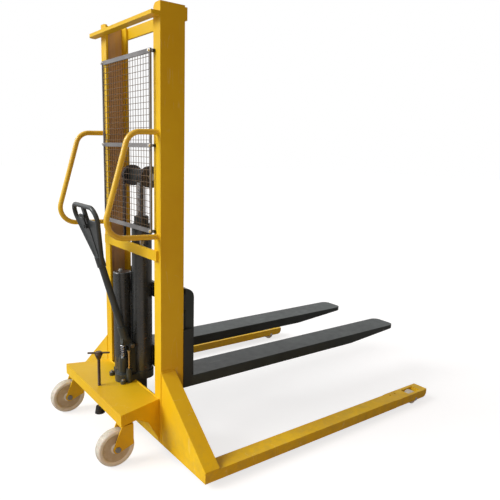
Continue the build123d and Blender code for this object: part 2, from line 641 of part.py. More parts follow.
def guard_mesh():
    """Welded wire panels: upright wires in front, level wires resting on them."""
    half = GUARD_HALF_WIDTH - GUARD_BAR
    middle = -GUARD_STANDOFF - GUARD_BAR / 2
    wires = []
    for low, high in zip(GUARD_RAILS_Z, GUARD_RAILS_Z[1:]):
        low += GUARD_RAIL_HEIGHT
        wires += [rod_z(x, middle + MESH_WIRE_RADIUS, low, high, MESH_WIRE_RADIUS)
                  for x in wire_rows(-half, half)]
        wires += [rod_x(-half, half, middle - MESH_WIRE_RADIUS, z, MESH_WIRE_RADIUS)
                  for z in wire_rows(low, high)]
    return wires


def guard_bolts():
    bolts = []
    for z in GUARD_RAILS_Z:
        for side in SIDES.values():
            x, middle = side * GUARD_BOLT_X, z + GUARD_RAIL_HEIGHT / 2
            shank = rod_y(x, GUARD_REAR_Y, 0, middle, GUARD_BOLT_RADIUS)
            seat = Plane(origin=(x, GUARD_REAR_Y, middle), x_dir=(1, 0, 0), z_dir=(0, -1, 0))
            washer = extrude(Circle(2 * GUARD_BOLT_RADIUS), WASHER_T)
            head = Pos(0, 0, WASHER_T) * hex_head(HEX_OVER_BOLT * GUARD_BOLT_RADIUS, BOLT_HEAD_T)
            bolts.append(shank + seat * (washer + head))
    return bolts


# ---------------------------------------------------------------- hydraulic unit
def foot_bolt_places():
    """Centres of the bolt lugs round the casting's reservoir and pump lobes."""
    tank = [(RESERVOIR_X, RESERVOIR_Y, TANK_LOBE_RADIUS, bearing) for bearing in TANK_BOLT_BEARINGS]
    places = []
    for x, y, lobe, bearing in tank + [(0, PUMP_Y, BARREL_LOBE_RADIUS, PUMP_BOLT_BEARING)]:
        turn = math.radians(bearing)
        reach = lobe + FOOT_WASHER_RADIUS + 1
        places.append((x + reach * math.cos(turn), y + reach * math.sin(turn)))
    return places


def pump_base():
    """Casting that carries the cylinder, the reservoir, the pump barrel and the tiller's ears."""
    low, high, tank_seat = BASE_TOP, CASTING_TOP, CASTING_TOP - TANK_SEAT_DEPTH
    body = rod_z(0, CYLINDER_Y, low, high, JACKET_RADIUS + JACKET_LOBE)
    body += rod_z(RESERVOIR_X, RESERVOIR_Y, low, tank_seat, TANK_LOBE_RADIUS)
    body += rod_z(0, PUMP_Y, low, high, BARREL_LOBE_RADIUS)
    body += rod_z(VALVE_X, VALVE_Y, low, high + VALVE_BOSS_RISE, VALVE_RADIUS + VALVE_BOSS)
    body += block(RESERVOIR_X, BARREL_LOBE_RADIUS, PUMP_Y, PUMP_BODY_FRONT_Y, low, high - CASTING_STEP)
    body += rod_z(0, PUMP_Y, high, BARREL_TOP, BARREL_RADIUS)
    body += block(-KEEL_HALF_WIDTH, KEEL_HALF_WIDTH, PLATE_T + 1, BOX_DEPTH - PLATE_T - 1, SHELF_TOP, low)
    body -= rod_z(RESERVOIR_X, RESERVOIR_Y, tank_seat, high, RESERVOIR_RADIUS)
    for x, y in foot_bolt_places():
        body += rod_z(x, y, low, low + LUG_HEIGHT, LUG_RADIUS)
        body -= rod_z(x, y, low - 1, low + LUG_HEIGHT + 1, FOOT_BOLT_RADIUS)
    for side in SIDES.values():
        x0 = side * (YOKE_HALF_WIDTH + EAR_SIDE_GAP)
        x1 = x0 + side * EAR_T
        body += block(x0, x1, FULCRUM_Y - EAR_RADIUS, FULCRUM_Y + EAR_RADIUS, high - 1, FULCRUM_Z)
        body += rod_x(x0, x1, FULCRUM_Y, FULCRUM_Z, EAR_RADIUS)
    across = YOKE_HALF_WIDTH + 2 * EAR_T
    body -= rod_x(-across, across, FULCRUM_Y, FULCRUM_Z, FULCRUM_PIN_RADIUS)
    body -= rod_z(0, PUMP_Y, BARREL_TOP - BARREL_DEPTH, BARREL_TOP + 1, PLUNGER_RADIUS + RUNNING)
    return body - rod_z(VALVE_X, VALVE_Y, high - VALVE_DEPTH - CASTING_STEP, high + VALVE_BOSS_RISE + 1,
                        VALVE_RADIUS + RUNNING)


def lift_cylinder():
    jacket = rod_z(0, CYLINDER_Y, CASTING_TOP, JACKET_TOP, JACKET_RADIUS)
    top = JACKET_TOP - JACKET_WALL
    jacket -= rod_z(0, CYLINDER_Y, CASTING_TOP - 1, top, JACKET_RADIUS - JACKET_WALL)
    return jacket - rod_z(0, CYLINDER_Y, top - 1, JACKET_TOP + 1, LINER_OUTER_RADIUS)


def cylinder_liner():
    tube = rod_z(0, CYLINDER_Y, CASTING_TOP, LINER_TOP, LINER_OUTER_RADIUS)
    return tube - rod_z(0, CYLINDER_Y, CASTING_TOP - 1, LINER_TOP + 1, LINER_BORE_RADIUS)


def cylinder_gland():
    """Screwed collar on the liner, with the rod seal's land inside."""
    gland = rod_z(0, CYLINDER_Y, JACKET_TOP, GLAND_TOP, GLAND_RADIUS)
    gland += rod_z(0, CYLINDER_Y, JACKET_TOP, LINER_TOP, GLAND_RADIUS + JACKET_WALL)
    gland = chamfer(gland.edges().filter_by(GeomType.CIRCLE).group_by(Axis.Z)[-1], GLAND_BEVEL)
    gland -= rod_z(0, CYLINDER_Y, JACKET_TOP - 1, LINER_TOP, LINER_OUTER_RADIUS)
    return gland - rod_z(0, CYLINDER_Y, LINER_TOP - 1, GLAND_TOP + 1, ROD_RADIUS + RUNNING)


def oil_reservoir():
    seat = CASTING_TOP - TANK_SEAT_DEPTH
    tank = rod_z(RESERVOIR_X, RESERVOIR_Y, seat, RESERVOIR_TOP, RESERVOIR_RADIUS)
    tank = fillet(tank.edges().filter_by(GeomType.CIRCLE).group_by(Axis.Z)[-1], RESERVOIR_CORNER)
    return tank - rod_z(RESERVOIR_X, RESERVOIR_Y, seat - 1, RESERVOIR_TOP - 2 * RESERVOIR_WALL,
                        RESERVOIR_RADIUS - RESERVOIR_WALL)


def filler_plug():
    x, y = RESERVOIR_X - RESERVOIR_RADIUS / 2, RESERVOIR_Y
    plug = rod_z(x, y, RESERVOIR_TOP, RESERVOIR_TOP + PLUG_T, PLUG_RADIUS)
    return plug + Pos(x, y, RESERVOIR_TOP + PLUG_T) * hex_head(PLUG_HEX_RADIUS, PLUG_HEX_T)


def pump_base_bolts():
    """Cap screws that hold the casting's foot lobes to the base plate."""
    seat = BASE_TOP + LUG_HEIGHT
    bolts = []
    for x, y in foot_bolt_places():
        bolt = rod_z(x, y, BASE_UNDERSIDE, seat, FOOT_BOLT_RADIUS)
        bolt += rod_z(x, y, seat, seat + WASHER_T, FOOT_WASHER_RADIUS)
        head = hex_head(HEX_OVER_BOLT * FOOT_BOLT_RADIUS, BOLT_HEAD_T)
        bolts.append(bolt + Pos(x, y, seat + WASHER_T) * head)
    return bolts


def pump_plunger():
    cap_bottom = PLUNGER_TOP - PLUNGER_CAP_T
    stem = rod_z(0, PUMP_Y, BARREL_TOP - PLUNGER_DEPTH, cap_bottom, PLUNGER_RADIUS)
    cap = rod_z(0, PUMP_Y, cap_bottom, PLUNGER_TOP, PLUNGER_CAP_RADIUS)
    return stem + chamfer(cap.edges().filter_by(GeomType.CIRCLE), 1)


def pump_spring():
    """Return spring between the barrel's top and the plunger's cap."""
    low, high = BARREL_TOP + BODY_GAP, PLUNGER_TOP - PLUNGER_CAP_T - BODY_GAP
    span = high - low - SPRING_WIRE
    coil = Helix(pitch=span / SPRING_TURNS, height=span, radius=SPRING_RADIUS)
    wire = sweep(Plane(origin=coil @ 0, z_dir=coil % 0) * Circle(SPRING_WIRE / 2), path=coil)
    return Pos(0, PUMP_Y, low + SPRING_WIRE / 2) * wire


def valve_rod():
    rod = rod_z(VALVE_X, VALVE_Y, CASTING_TOP - VALVE_DEPTH, VALVE_TOP, VALVE_RADIUS)
    return rod + rod_z(VALVE_X, VALVE_Y, VALVE_TOP, VALVE_TOP + VALVE_CAP_T, VALVE_CAP_RADIUS)


# ---------------------------------------------------------------- ram and chains
def piston_rod():
    bottom = PISTON_TOP - PISTON_LENGTH
    rod = rod_z(0, CYLINDER_Y, bottom, SHEAVE_Z, ROD_RADIUS)
    return rod + rod_z(0, CYLINDER_Y, bottom, PISTON_TOP, LINER_BORE_RADIUS - RUNNING)


def crosshead():
    half_x = CROSSHEAD_HALF_WIDTH
    low, high = SHEAVE_Z - CROSSHEAD_HALF_HEIGHT, SHEAVE_Z + CROSSHEAD_HALF_HEIGHT
    y0, y1 = CYLINDER_Y - CROSSHEAD_HALF_DEPTH, CYLINDER_Y + CROSSHEAD_HALF_DEPTH
    head = block(-half_x, half_x, y0, y1, low + CROSSHEAD_SOCKET_DROP, high)
    head = chamfer(head.edges().filter_by(Axis.Y), CROSSHEAD_BEVEL)
    head += rod_z(0, CYLINDER_Y, low, SHEAVE_Z, ROD_RADIUS + CROSSHEAD_SOCKET_WALL)
    head -= rod_z(0, CYLINDER_Y, low - 1, SHEAVE_Z, ROD_RADIUS)
    for side in SIDES.values():
        head -= rod_x(side * SHEAVE_PIN_INNER_X, side * (half_x + 1), CYLINDER_Y, SHEAVE_Z,
                      SHEAVE_PIN_RADIUS)
    return head


def sheave_pins():
    inner = SHEAVE_PIN_INNER_X
    outer = SHEAVE_X + SHEAVE_WIDTH / 2 + SHEAVE_SIDE_GAP
    pins = []
    for side in SIDES.values():
        pin = rod_x(side * inner, side * outer, CYLINDER_Y, SHEAVE_Z, SHEAVE_PIN_RADIUS)
        collar = rod_x(side * outer, side * (outer + SHEAVE_PIN_COLLAR), CYLINDER_Y, SHEAVE_Z,
                       SHEAVE_PIN_RADIUS + SHEAVE_PIN_COLLAR)
        pins.append(pin + collar)
    return pins


def chain_sheaves():
    floor = CHAIN_PITCH_RADIUS - CHAIN_HEIGHT / 2 - BODY_GAP
    groove = CHAIN_WIDTH / 2 + BODY_GAP
    sheaves = []
    for side in SIDES.values():
        x = side * SHEAVE_X
        half = SHEAVE_WIDTH / 2
        disc = rod_x(x - half, x + half, CYLINDER_Y, SHEAVE_Z, SHEAVE_RADIUS)
        disc -= (rod_x(x - groove, x + groove, CYLINDER_Y, SHEAVE_Z, SHEAVE_RADIUS + 1)
                 - rod_x(x - groove, x + groove, CYLINDER_Y, SHEAVE_Z, floor))
        sheaves.append(disc - rod_x(x - half - 1, x + half + 1, CYLINDER_Y, SHEAVE_Z,
                                    SHEAVE_PIN_RADIUS + RUNNING))
    return sheaves


def chain_strand(x, y, low, high):
    return block(x - CHAIN_WIDTH / 2, x + CHAIN_WIDTH / 2, y - CHAIN_HEIGHT / 2, y + CHAIN_HEIGHT / 2,
                 low, high)


def chain_rear_strands():
    return [chain_strand(side * SHEAVE_X, CHAIN_REAR_Y, ANCHOR_TOP, SHEAVE_Z) for side in SIDES.values()]


def chain_front_strands():
    return [chain_strand(side * SHEAVE_X, CHAIN_FRONT_Y, CARRIAGE_LOWER_Z[1], SHEAVE_Z)
            for side in SIDES.values()]


def chain_wraps():
    """The half turns of chain over the sheaves."""
    outer = CHAIN_PITCH_RADIUS + CHAIN_HEIGHT / 2
    inner = CHAIN_PITCH_RADIUS - CHAIN_HEIGHT / 2
    wraps = []
    for side in SIDES.values():
        x0, x1 = side * SHEAVE_X - CHAIN_WIDTH / 2, side * SHEAVE_X + CHAIN_WIDTH / 2
        ring = rod_x(x0, x1, CYLINDER_Y, SHEAVE_Z, outer) - rod_x(x0, x1, CYLINDER_Y, SHEAVE_Z, inner)
        wraps.append(ring - block(x0 - 1, x1 + 1, CYLINDER_Y - 2 * outer, CYLINDER_Y + 2 * outer,
                                  SHEAVE_Z - 2 * outer, SHEAVE_Z))
    return wraps


def chain_anchors():
    """Brackets on the middle crossbar that hold the chains' fixed ends."""
    anchors = []
    low = CROSSBAR_Z[1] - ANCHOR_BRACKET_DROP
    clevis = ANCHOR_TOP - ANCHOR_CLEVIS_HEIGHT
    nut = HEX_OVER_BOLT * ANCHOR_STUD_RADIUS
    for side in SIDES.values():
        x = side * SHEAVE_X
        lug = block(x - CHAIN_WIDTH, x + CHAIN_WIDTH, 0, CHAIN_REAR_Y + CHAIN_HEIGHT, low,
                    low + ANCHOR_BRACKET_T)
        lug += rod_z(x, CHAIN_REAR_Y, low - ANCHOR_STUD_DROP, clevis, ANCHOR_STUD_RADIUS)
        for z in (low - nut, low - 2 * nut):
            lug += Pos(x, CHAIN_REAR_Y, z) * hex_head(nut, nut)
        lug += block(x - CHAIN_WIDTH / 2, x + CHAIN_WIDTH / 2, CHAIN_REAR_Y - ANCHOR_CLEVIS_DEPTH / 2,
                     CHAIN_REAR_Y + ANCHOR_CLEVIS_DEPTH / 2, clevis, ANCHOR_TOP)
        anchors.append(lug)
    return anchors


# ---------------------------------------------------------------- carriage and forks
def carriage_side_plates():
    """Inner cheeks that carry the mast rollers and reach down behind the forks."""
    pin_y = MAST_ROLLER_Y
    back = pin_y - ROLLER_PIN_RADIUS - CHEEK_MARGIN
    strip = CARRIAGE_REAR_Y - CHEEK_STRIP
    corner = CARRIAGE_PLATE_T
    outline = [(back, CARRIAGE_TOP - corner), (back + corner, CARRIAGE_TOP), (CARRIAGE_REAR_Y, CARRIAGE_TOP),
               (CARRIAGE_REAR_Y, CARRIAGE_LOWER_Z[0]), (strip, CARRIAGE_LOWER_Z[0]),
               (strip, CARRIAGE_SIDE_BOTTOM), (back, CARRIAGE_SIDE_BOTTOM)]
    plate = side_profile(outline, CARRIAGE_SIDE_X - CARRIAGE_PLATE_T, CARRIAGE_SIDE_X)
    for z in (UPPER_ROLLER_Z, LOWER_ROLLER_Z):
        plate -= rod_x(CARRIAGE_SIDE_X - 2 * CARRIAGE_PLATE_T, CARRIAGE_SIDE_X + 1, pin_y, z,
                       ROLLER_PIN_RADIUS)
    return [flip(plate), plate]


def carriage_cross_plates():
    half = SHANK_OUTER_X
    lower = block(-half, half, CARRIAGE_REAR_Y, CARRIAGE_FRONT_Y, *CARRIAGE_LOWER_Z)
    upper = block(-half, half, CARRIAGE_REAR_Y, CARRIAGE_FRONT_Y, CARRIAGE_UPPER_Z, CARRIAGE_TOP)
    # the chains pull on two lugs welded behind the lower plate
    reach, lug_top = CHAIN_WIDTH / 2 + CHAIN_LUG_MARGIN, CARRIAGE_LOWER_Z[1]
    for side in SIDES.values():
        x = side * SHEAVE_X
        lower += block(x - reach, x + reach, CHAIN_FRONT_Y - CHAIN_HEIGHT, CARRIAGE_REAR_Y,
                       lug_top - CARRIAGE_PLATE_T, lug_top)
    return [lower, upper]


def fork_blade():
    """Fabricated blade: top plate and two sides, open below, with a tapering closed tip."""
    x0, x1 = FORK_INNER_X, FORK_OUTER_X
    start = CARRIAGE_FRONT_Y
    taper = FORK_TIP_Y - FORK_TAPER_LENGTH
    outline = [(start, FORK_TOP), (FORK_TIP_Y, FORK_TOP), (FORK_TIP_Y, FORK_TOP - FORK_TIP_DEPTH),
               (taper, FORK_BOTTOM), (start, FORK_BOTTOM)]
    blade = side_profile(outline, x0, x1)
    blade = fillet(blade.edges().filter_by(Axis.Z).group_by(Axis.Y)[-1], FORK_TIP_RADIUS)
    tip = FORK_TIP_Y - FORK_TIP_RADIUS
    tip_bottom = FORK_BOTTOM + (FORK_DEPTH - FORK_TIP_DEPTH) * (tip - taper) / FORK_TAPER_LENGTH
    roof = FORK_TOP - FORK_WALL
    channel = side_profile([(SHANK_FRONT_Y, FORK_BOTTOM - 1), (SHANK_FRONT_Y, roof), (tip, roof),
                            (tip, tip_bottom - 1), (taper, FORK_BOTTOM - 1)], x0 + FORK_WALL, x1 - FORK_WALL)
    return blade - channel


def fork():
    outline = [(CARRIAGE_FRONT_Y, FORK_BOTTOM), (SHANK_FRONT_Y, FORK_BOTTOM), (SHANK_FRONT_Y, SHANK_TOP),
               (CARRIAGE_FRONT_Y, SHANK_TOP)]
    shank = side_profile(outline, FORK_INNER_X, SHANK_OUTER_X)
    front_top = shank.edges().filter_by(Axis.X).group_by(Axis.Z)[-1].sort_by(Axis.Y)[-1]
    shank = fillet(front_top, SHANK_TOP_RADIUS)
    corners = block(SHANK_OUTER_X, FORK_OUTER_X, 0, SIDE_PLATE_FRONT_Y, FORK_BOTTOM - 1, SIDE_PLATE_TOP)
    hollow = block(FORK_INNER_X + FORK_WALL, SHANK_OUTER_X - FORK_WALL, CARRIAGE_FRONT_Y - 1,
                   SHANK_FRONT_Y - SHANK_FACE_T, FORK_BOTTOM + FORK_WALL, SHANK_TOP - 1.5 * SHANK_FACE_T)
    return shank + fork_blade() - corners - hollow


def fork_side_plates():
    """Outer cheeks that stiffen each fork's heel against the carriage."""
    plate = side_profile([(CARRIAGE_REAR_Y, FORK_BOTTOM), (SIDE_PLATE_FRONT_Y, FORK_BOTTOM),
                          (SIDE_PLATE_FRONT_Y, SIDE_PLATE_TOP), (CARRIAGE_REAR_Y, SIDE_PLATE_TOP)],
                         SHANK_OUTER_X, FORK_OUTER_X)
    top = plate.edges().filter_by(Axis.X).group_by(Axis.Z)[-1]
    plate = chamfer(top, SIDE_PLATE_BEVEL)
    return [flip(plate), plate]


def roller_pins():
    start = CARRIAGE_SIDE_X - CARRIAGE_PLATE_T
    end = MAST_ROLLER_INNER_X + MAST_ROLLER_WIDTH
    collar = ROLLER_PIN_RADIUS + ROLLER_PIN_COLLAR
    pins = []
    for z in (UPPER_ROLLER_Z, LOWER_ROLLER_Z):
        pin = rod_x(start, end, MAST_ROLLER_Y, z, ROLLER_PIN_RADIUS)
        pin += rod_x(start - ROLLER_PIN_COLLAR, start, MAST_ROLLER_Y, z, collar)
        pin += rod_x(end + BODY_GAP, end + ROLLER_PIN_COLLAR, MAST_ROLLER_Y, z, collar)
        pin += rod_x(end, end + BODY_GAP, MAST_ROLLER_Y, z, ROLLER_PIN_RADIUS)
        pins += [flip(pin), pin]
    return pins


def mast_rollers(z):
    x0 = MAST_ROLLER_INNER_X
    roller = rod_x(x0, x0 + MAST_ROLLER_WIDTH, MAST_ROLLER_Y, z, MAST_ROLLER_RADIUS)
    roller = fillet(roller.edges().filter_by(GeomType.CIRCLE), MAST_ROLLER_ROUND)
    roller -= rod_x(x0 - 1, x0 + MAST_ROLLER_WIDTH + 1, MAST_ROLLER_Y, z, ROLLER_PIN_RADIUS + RUNNING)
    return [flip(roller), roller]


# ---------------------------------------------------------------- tiller
def tiller_plane():
    lean = math.radians(TILLER_LEAN)
    return Plane(origin=(0, TILLER_FOOT_Y, FULCRUM_Z), x_dir=(1, 0, 0),
                 z_dir=(0, -math.sin(lean), math.cos(lean)))


def along_tiller(s0, s1, radius):
    return tiller_plane() * Pos(0, 0, (s0 + s1) / 2) * Cylinder(radius, s1 - s0)


def tiller_yoke():
    """Cast foot of the tiller: pivot boss, heel that presses the pump, and socket for the tube."""
    w = YOKE_HALF_WIDTH
    boss = rod_x(-w, w, FULCRUM_Y, FULCRUM_Z, EAR_RADIUS - 1)
    heel = rod_x(-w + 3, w - 3, PUMP_Y, HEEL_Z, HEEL_RADIUS)
    lean = math.tan(math.radians(TILLER_LEAN))
    neck_z = FULCRUM_Z + SOCKET_RANGE[0] + YOKE_NECK_RISE
    neck_y = TILLER_FOOT_Y - lean * (neck_z - FULCRUM_Z)
    under = PLUNGER_TOP + YOKE_RELIEF
    neck = SOCKET_RADIUS - 2
    web = side_profile([(FULCRUM_Y + neck / 2, FULCRUM_Z), (FULCRUM_Y - neck / 2, FULCRUM_Z),
                        (PUMP_Y + PLUNGER_CAP_RADIUS, under), (PUMP_Y, under),
                        (PUMP_Y - HEEL_RADIUS + 1, HEEL_Z), (neck_y - neck, neck_z),
                        (neck_y + neck, neck_z)], -w, w)
    yoke = boss + heel + web + along_tiller(*SOCKET_RANGE, SOCKET_RADIUS)
    yoke -= along_tiller(SHAFT_FOOT, SOCKET_RANGE[1] + 1, TILLER_RADIUS)
    return yoke - rod_x(-w - 1, w + 1, FULCRUM_Y, FULCRUM_Z, FULCRUM_PIN_RADIUS + RUNNING)


def tiller_pin():
    end = YOKE_HALF_WIDTH + EAR_SIDE_GAP + EAR_T
    pin = rod_x(-end, end, FULCRUM_Y, FULCRUM_Z, FULCRUM_PIN_RADIUS)
    for side in SIDES.values():
        pin += rod_x(side * end, side * (end + TILLER_PIN_HEAD_T), FULCRUM_Y, FULCRUM_Z,
                     FULCRUM_PIN_RADIUS + TILLER_PIN_HEAD_LIP)
    return pin


def tiller_shaft():
    high = TILLER_COLLAR[1] - COLLAR_CAP
    bore = along_tiller(SHAFT_FOOT - 1, high + 1, TILLER_RADIUS - TILLER_WALL)
    return along_tiller(SHAFT_FOOT, high, TILLER_RADIUS) - bore


def tiller_handle():
    """Loop grip: a bent tube round a flat spine and web, on a collar that takes the shaft."""
    low, high = TILLER_COLLAR
    root = low + TILLER_RADIUS
    path = FilletPolyline((-TILLER_RADIUS, 0, root), (-LOOP_HALF_WIDTH, 0, LOOP_TOP),
                          (LOOP_HALF_WIDTH, 0, LOOP_TOP), (TILLER_RADIUS, 0, root),
                          radius=LOOP_CORNER_RADIUS)
    half, depth = SPINE_WIDTH / 2, SPINE_T / 2
    collar = rod_z(0, 0, low, high, TILLER_RADIUS + COLLAR_WALL)
    spine = block(-half, half, -depth, depth, high - COLLAR_CAP / 2, LOOP_TOP)
    spread = TILLER_RADIUS + (WEB_TOP - root) * (LOOP_HALF_WIDTH - TILLER_RADIUS) / (LOOP_TOP - root)
    web = front_profile([(-TILLER_RADIUS, root), (TILLER_RADIUS, root),
                         (spread, WEB_TOP), (-spread, WEB_TOP)], -WEB_T / 2, WEB_T / 2)
    ears = block(-half, half, -depth - EAR_REACH, -depth, LEVER_PIVOT - EAR_REACH / 2,
                 LEVER_PIVOT + EAR_REACH / 2)
    gap = LEVER_WIDTH / 2 + 2 * BODY_GAP
    cuts = rod_z(0, 0, low - 1, high - COLLAR_CAP, TILLER_RADIUS)
    cuts += block(-gap, gap, -depth - EAR_REACH - 1, -depth, LEVER_PIVOT - EAR_REACH,
                  LEVER_PIVOT + EAR_REACH)
    cuts += rod_x(-SPINE_WIDTH, SPINE_WIDTH, LEVER_Y, LEVER_PIVOT, LEVER_PIN_RADIUS)
    return tiller_plane() * (bent_tube(path, LOOP_TUBE_RADIUS) + spine + web + collar + ears - cuts)


def release_lever():
    """Finger lever on the spine that opens the lowering valve."""
    half, thick = LEVER_WIDTH / 2, LEVER_T / 2
    end = LEVER_PIVOT + LEVER_LENGTH
    lever = rod_x(-half, half, LEVER_Y, LEVER_PIVOT, LEVER_T)
    lever += block(-half, half, LEVER_Y - thick, LEVER_Y + thick, LEVER_PIVOT, end)
    lever += block(-PADDLE_HALF_WIDTH, PADDLE_HALF_WIDTH, LEVER_Y - LEVER_T, LEVER_Y + thick,
                   end - PADDLE_HEIGHT, end)
    lever += rod_x(-SPINE_WIDTH / 2, SPINE_WIDTH / 2, LEVER_Y, LEVER_PIVOT, LEVER_PIN_RADIUS - RUNNING)
    return tiller_plane() * lever


# ---------------------------------------------------------------- floor lock
def lock_screw():
    """Threaded spindle with a cone hub and a cross bar to turn it by."""
    low, high = LOCK_HUB_Z
    screw = rod_z(0, LOCK_Y, LOCK_FOOT_Z[1] - LOCK_SOCKET_DEPTH, low + 2, LOCK_SCREW_RADIUS)
    hub = Pos(0, LOCK_Y, (low + high) / 2) * Cone(LOCK_SCREW_RADIUS + 1, LOCK_HUB_RADIUS, high - low)
    cap = rod_z(0, LOCK_Y, high, high + LOCK_CAP_T, LOCK_HUB_RADIUS - LOCK_CAP_INSET)
    bar = rod_x(-LOCK_BAR_LENGTH / 2, LOCK_BAR_LENGTH / 2, 0, 0, LOCK_BAR_RADIUS)
    bar = fillet(bar.edges().filter_by(GeomType.CIRCLE), LOCK_BAR_RADIUS / 2)
    turned_bar = Pos(0, LOCK_Y, high + LOCK_BAR_RADIUS + 1) * Rot(0, 0, LOCK_BAR_TURN) * bar
    return screw + hub + cap + turned_bar


def lock_foot():
    low, high = LOCK_FOOT_Z
    foot = Pos(0, LOCK_Y, (low + high) / 2) * Cone(LOCK_FOOT_RADIUS, LOCK_FOOT_RADIUS - LOCK_FOOT_TAPER,
                                                   high - low)
    socket = high - LOCK_SOCKET_DEPTH - BODY_GAP
    return foot - rod_z(0, LOCK_Y, socket, high + 1, LOCK_SCREW_RADIUS + RUNNING)


# ---------------------------------------------------------------- assembly
def all_nodes():
    nodes = {
        "mast_top_front_plate": mast_top_front_plate(),
        "mast_top_rear_bar": mast_top_rear_bar(),
        "mast_mid_crossbar": mast_mid_crossbar(),
        "lower_cross_member": lower_cross_member(),
        "base_plate": base_plate(),
        "base_side_plates": [flip(base_side_plate()), base_side_plate()],
        "leg_roller_axles": [flip(leg_roller_axle()), leg_roller_axle()],
        "caster_housings": [flip(caster_housing()), caster_housing()],
        "guard_frame": guard_frame(),
        "guard_mesh": guard_mesh(),
        "guard_bolts": guard_bolts(),
        "pump_base": pump_base(),
        "pump_base_bolts": pump_base_bolts(),
        "lift_cylinder": lift_cylinder(),
        "cylinder_liner": cylinder_liner(),
        "cylinder_gland": cylinder_gland(),
        "oil_reservoir": oil_reservoir(),
        "filler_plug": filler_plug(),
        "pump_plunger": pump_plunger(),
        "pump_spring": pump_spring(),
        "valve_rod": valve_rod(),
        "piston_rod": piston_rod(),
        "crosshead": crosshead(),
        "sheave_pins": sheave_pins(),
        "chain_sheaves": chain_sheaves(),
        "chain_rear_strands": chain_rear_strands(),
        "chain_front_strands": chain_front_strands(),
        "chain_wraps": chain_wraps(),
        "chain_anchors": chain_anchors(),
        "carriage_side_plates": carriage_side_plates(),
        "carriage_cross_plates": carriage_cross_plates(),
        "fork_side_plates": fork_side_plates(),
        "roller_pins": roller_pins(),
        "upper_mast_rollers": mast_rollers(UPPER_ROLLER_Z),
        "lower_mast_rollers": mast_rollers(LOWER_ROLLER_Z),
        "tiller_yoke": tiller_yoke(),
        "tiller_pin": tiller_pin(),
        "tiller_shaft": tiller_shaft(),
        "tiller_handle": tiller_handle(),
        "release_lever": release_lever(),
        "lock_screw": lock_screw(),
        "lock_foot": lock_foot(),
    }
    paired = {"mast_channel": mast_channel, "outrigger": outrigger, "leg": leg, "leg_roller": leg_roller,
              "push_handle": push_handle, "fork": fork, "caster_fork": caster_fork,
              "caster_wheel": caster_wheel, "caster_axle": caster_axle}
    for name, make in paired.items():
        piece = make()
        for side_name, side in SIDES.items():
            nodes[f"{name}_{side_name}"] = sided(piece, side)
    return nodes


def solids_of(piece):
    pieces = piece if isinstance(piece, list) else [piece]
    return [solid for item in pieces for solid in item.solids()]


def main():
    os.makedirs("parts", exist_ok=True)
    move = Pos(0, CENTRE_SHIFT, 0)
    for name, piece in all_nodes().items():
        solids = [move * solid for solid in solids_of(piece)]
        shape = solids[0] if len(solids) == 1 else Compound(children=solids)
        export_step(shape, f"parts/{name}.step")


main()
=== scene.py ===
import json
import math
import random

import bmesh
import bpy
from mathutils import Matrix, Vector


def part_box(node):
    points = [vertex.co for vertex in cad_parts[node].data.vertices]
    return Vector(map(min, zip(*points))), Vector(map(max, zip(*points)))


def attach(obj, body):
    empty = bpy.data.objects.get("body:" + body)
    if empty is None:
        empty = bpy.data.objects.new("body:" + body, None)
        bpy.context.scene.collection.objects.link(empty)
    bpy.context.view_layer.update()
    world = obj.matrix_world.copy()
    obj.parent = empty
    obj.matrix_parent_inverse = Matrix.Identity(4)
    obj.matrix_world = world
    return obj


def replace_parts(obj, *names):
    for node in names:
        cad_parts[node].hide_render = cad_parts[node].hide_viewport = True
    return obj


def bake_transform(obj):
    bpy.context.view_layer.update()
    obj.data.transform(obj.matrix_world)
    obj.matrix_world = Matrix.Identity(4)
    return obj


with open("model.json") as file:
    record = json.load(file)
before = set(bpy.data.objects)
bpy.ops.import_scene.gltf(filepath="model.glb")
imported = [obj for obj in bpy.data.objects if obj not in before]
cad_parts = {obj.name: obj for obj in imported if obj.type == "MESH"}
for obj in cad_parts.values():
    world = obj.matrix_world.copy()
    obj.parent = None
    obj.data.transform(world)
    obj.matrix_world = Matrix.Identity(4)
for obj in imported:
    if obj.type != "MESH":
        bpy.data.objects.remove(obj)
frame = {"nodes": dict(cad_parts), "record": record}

random.seed(7)
NODES = frame["nodes"]
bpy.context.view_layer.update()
MM = 0.001
SIDES = {"left": -1, "right": 1}


# ---------------------------------------------------------------- the frame's own places
def solids(node):
    """Lowest and highest corner of each separate solid of a CAD node, from left to right."""
    shape = bmesh.new()
    shape.from_mesh(NODES[node].data)
    bmesh.ops.remove_doubles(shape, verts=shape.verts, dist=1e-5)
    shape.verts.ensure_lookup_table()
    seen, boxes = set(), []
    for first in shape.verts:
        if first.index in seen:
            continue
        seen.add(first.index)
        stack, places = [first], []
        while stack:
            vert = stack.pop()
            places.append(vert.co.copy())
            for edge in vert.link_edges:
                other = edge.other_vert(vert)
                if other.index not in seen:
                    seen.add(other.index)
                    stack.append(other)
        low = Vector(min(p[i] for p in places) for i in range(3))
        high = Vector(max(p[i] for p in places) for i in range(3))
        boxes.append((low, high))
    shape.free()
    return sorted(boxes, key=lambda box: tuple(round(c, 4) for c in box[0]))


def centre(box):
    return (box[0] + box[1]) / 2


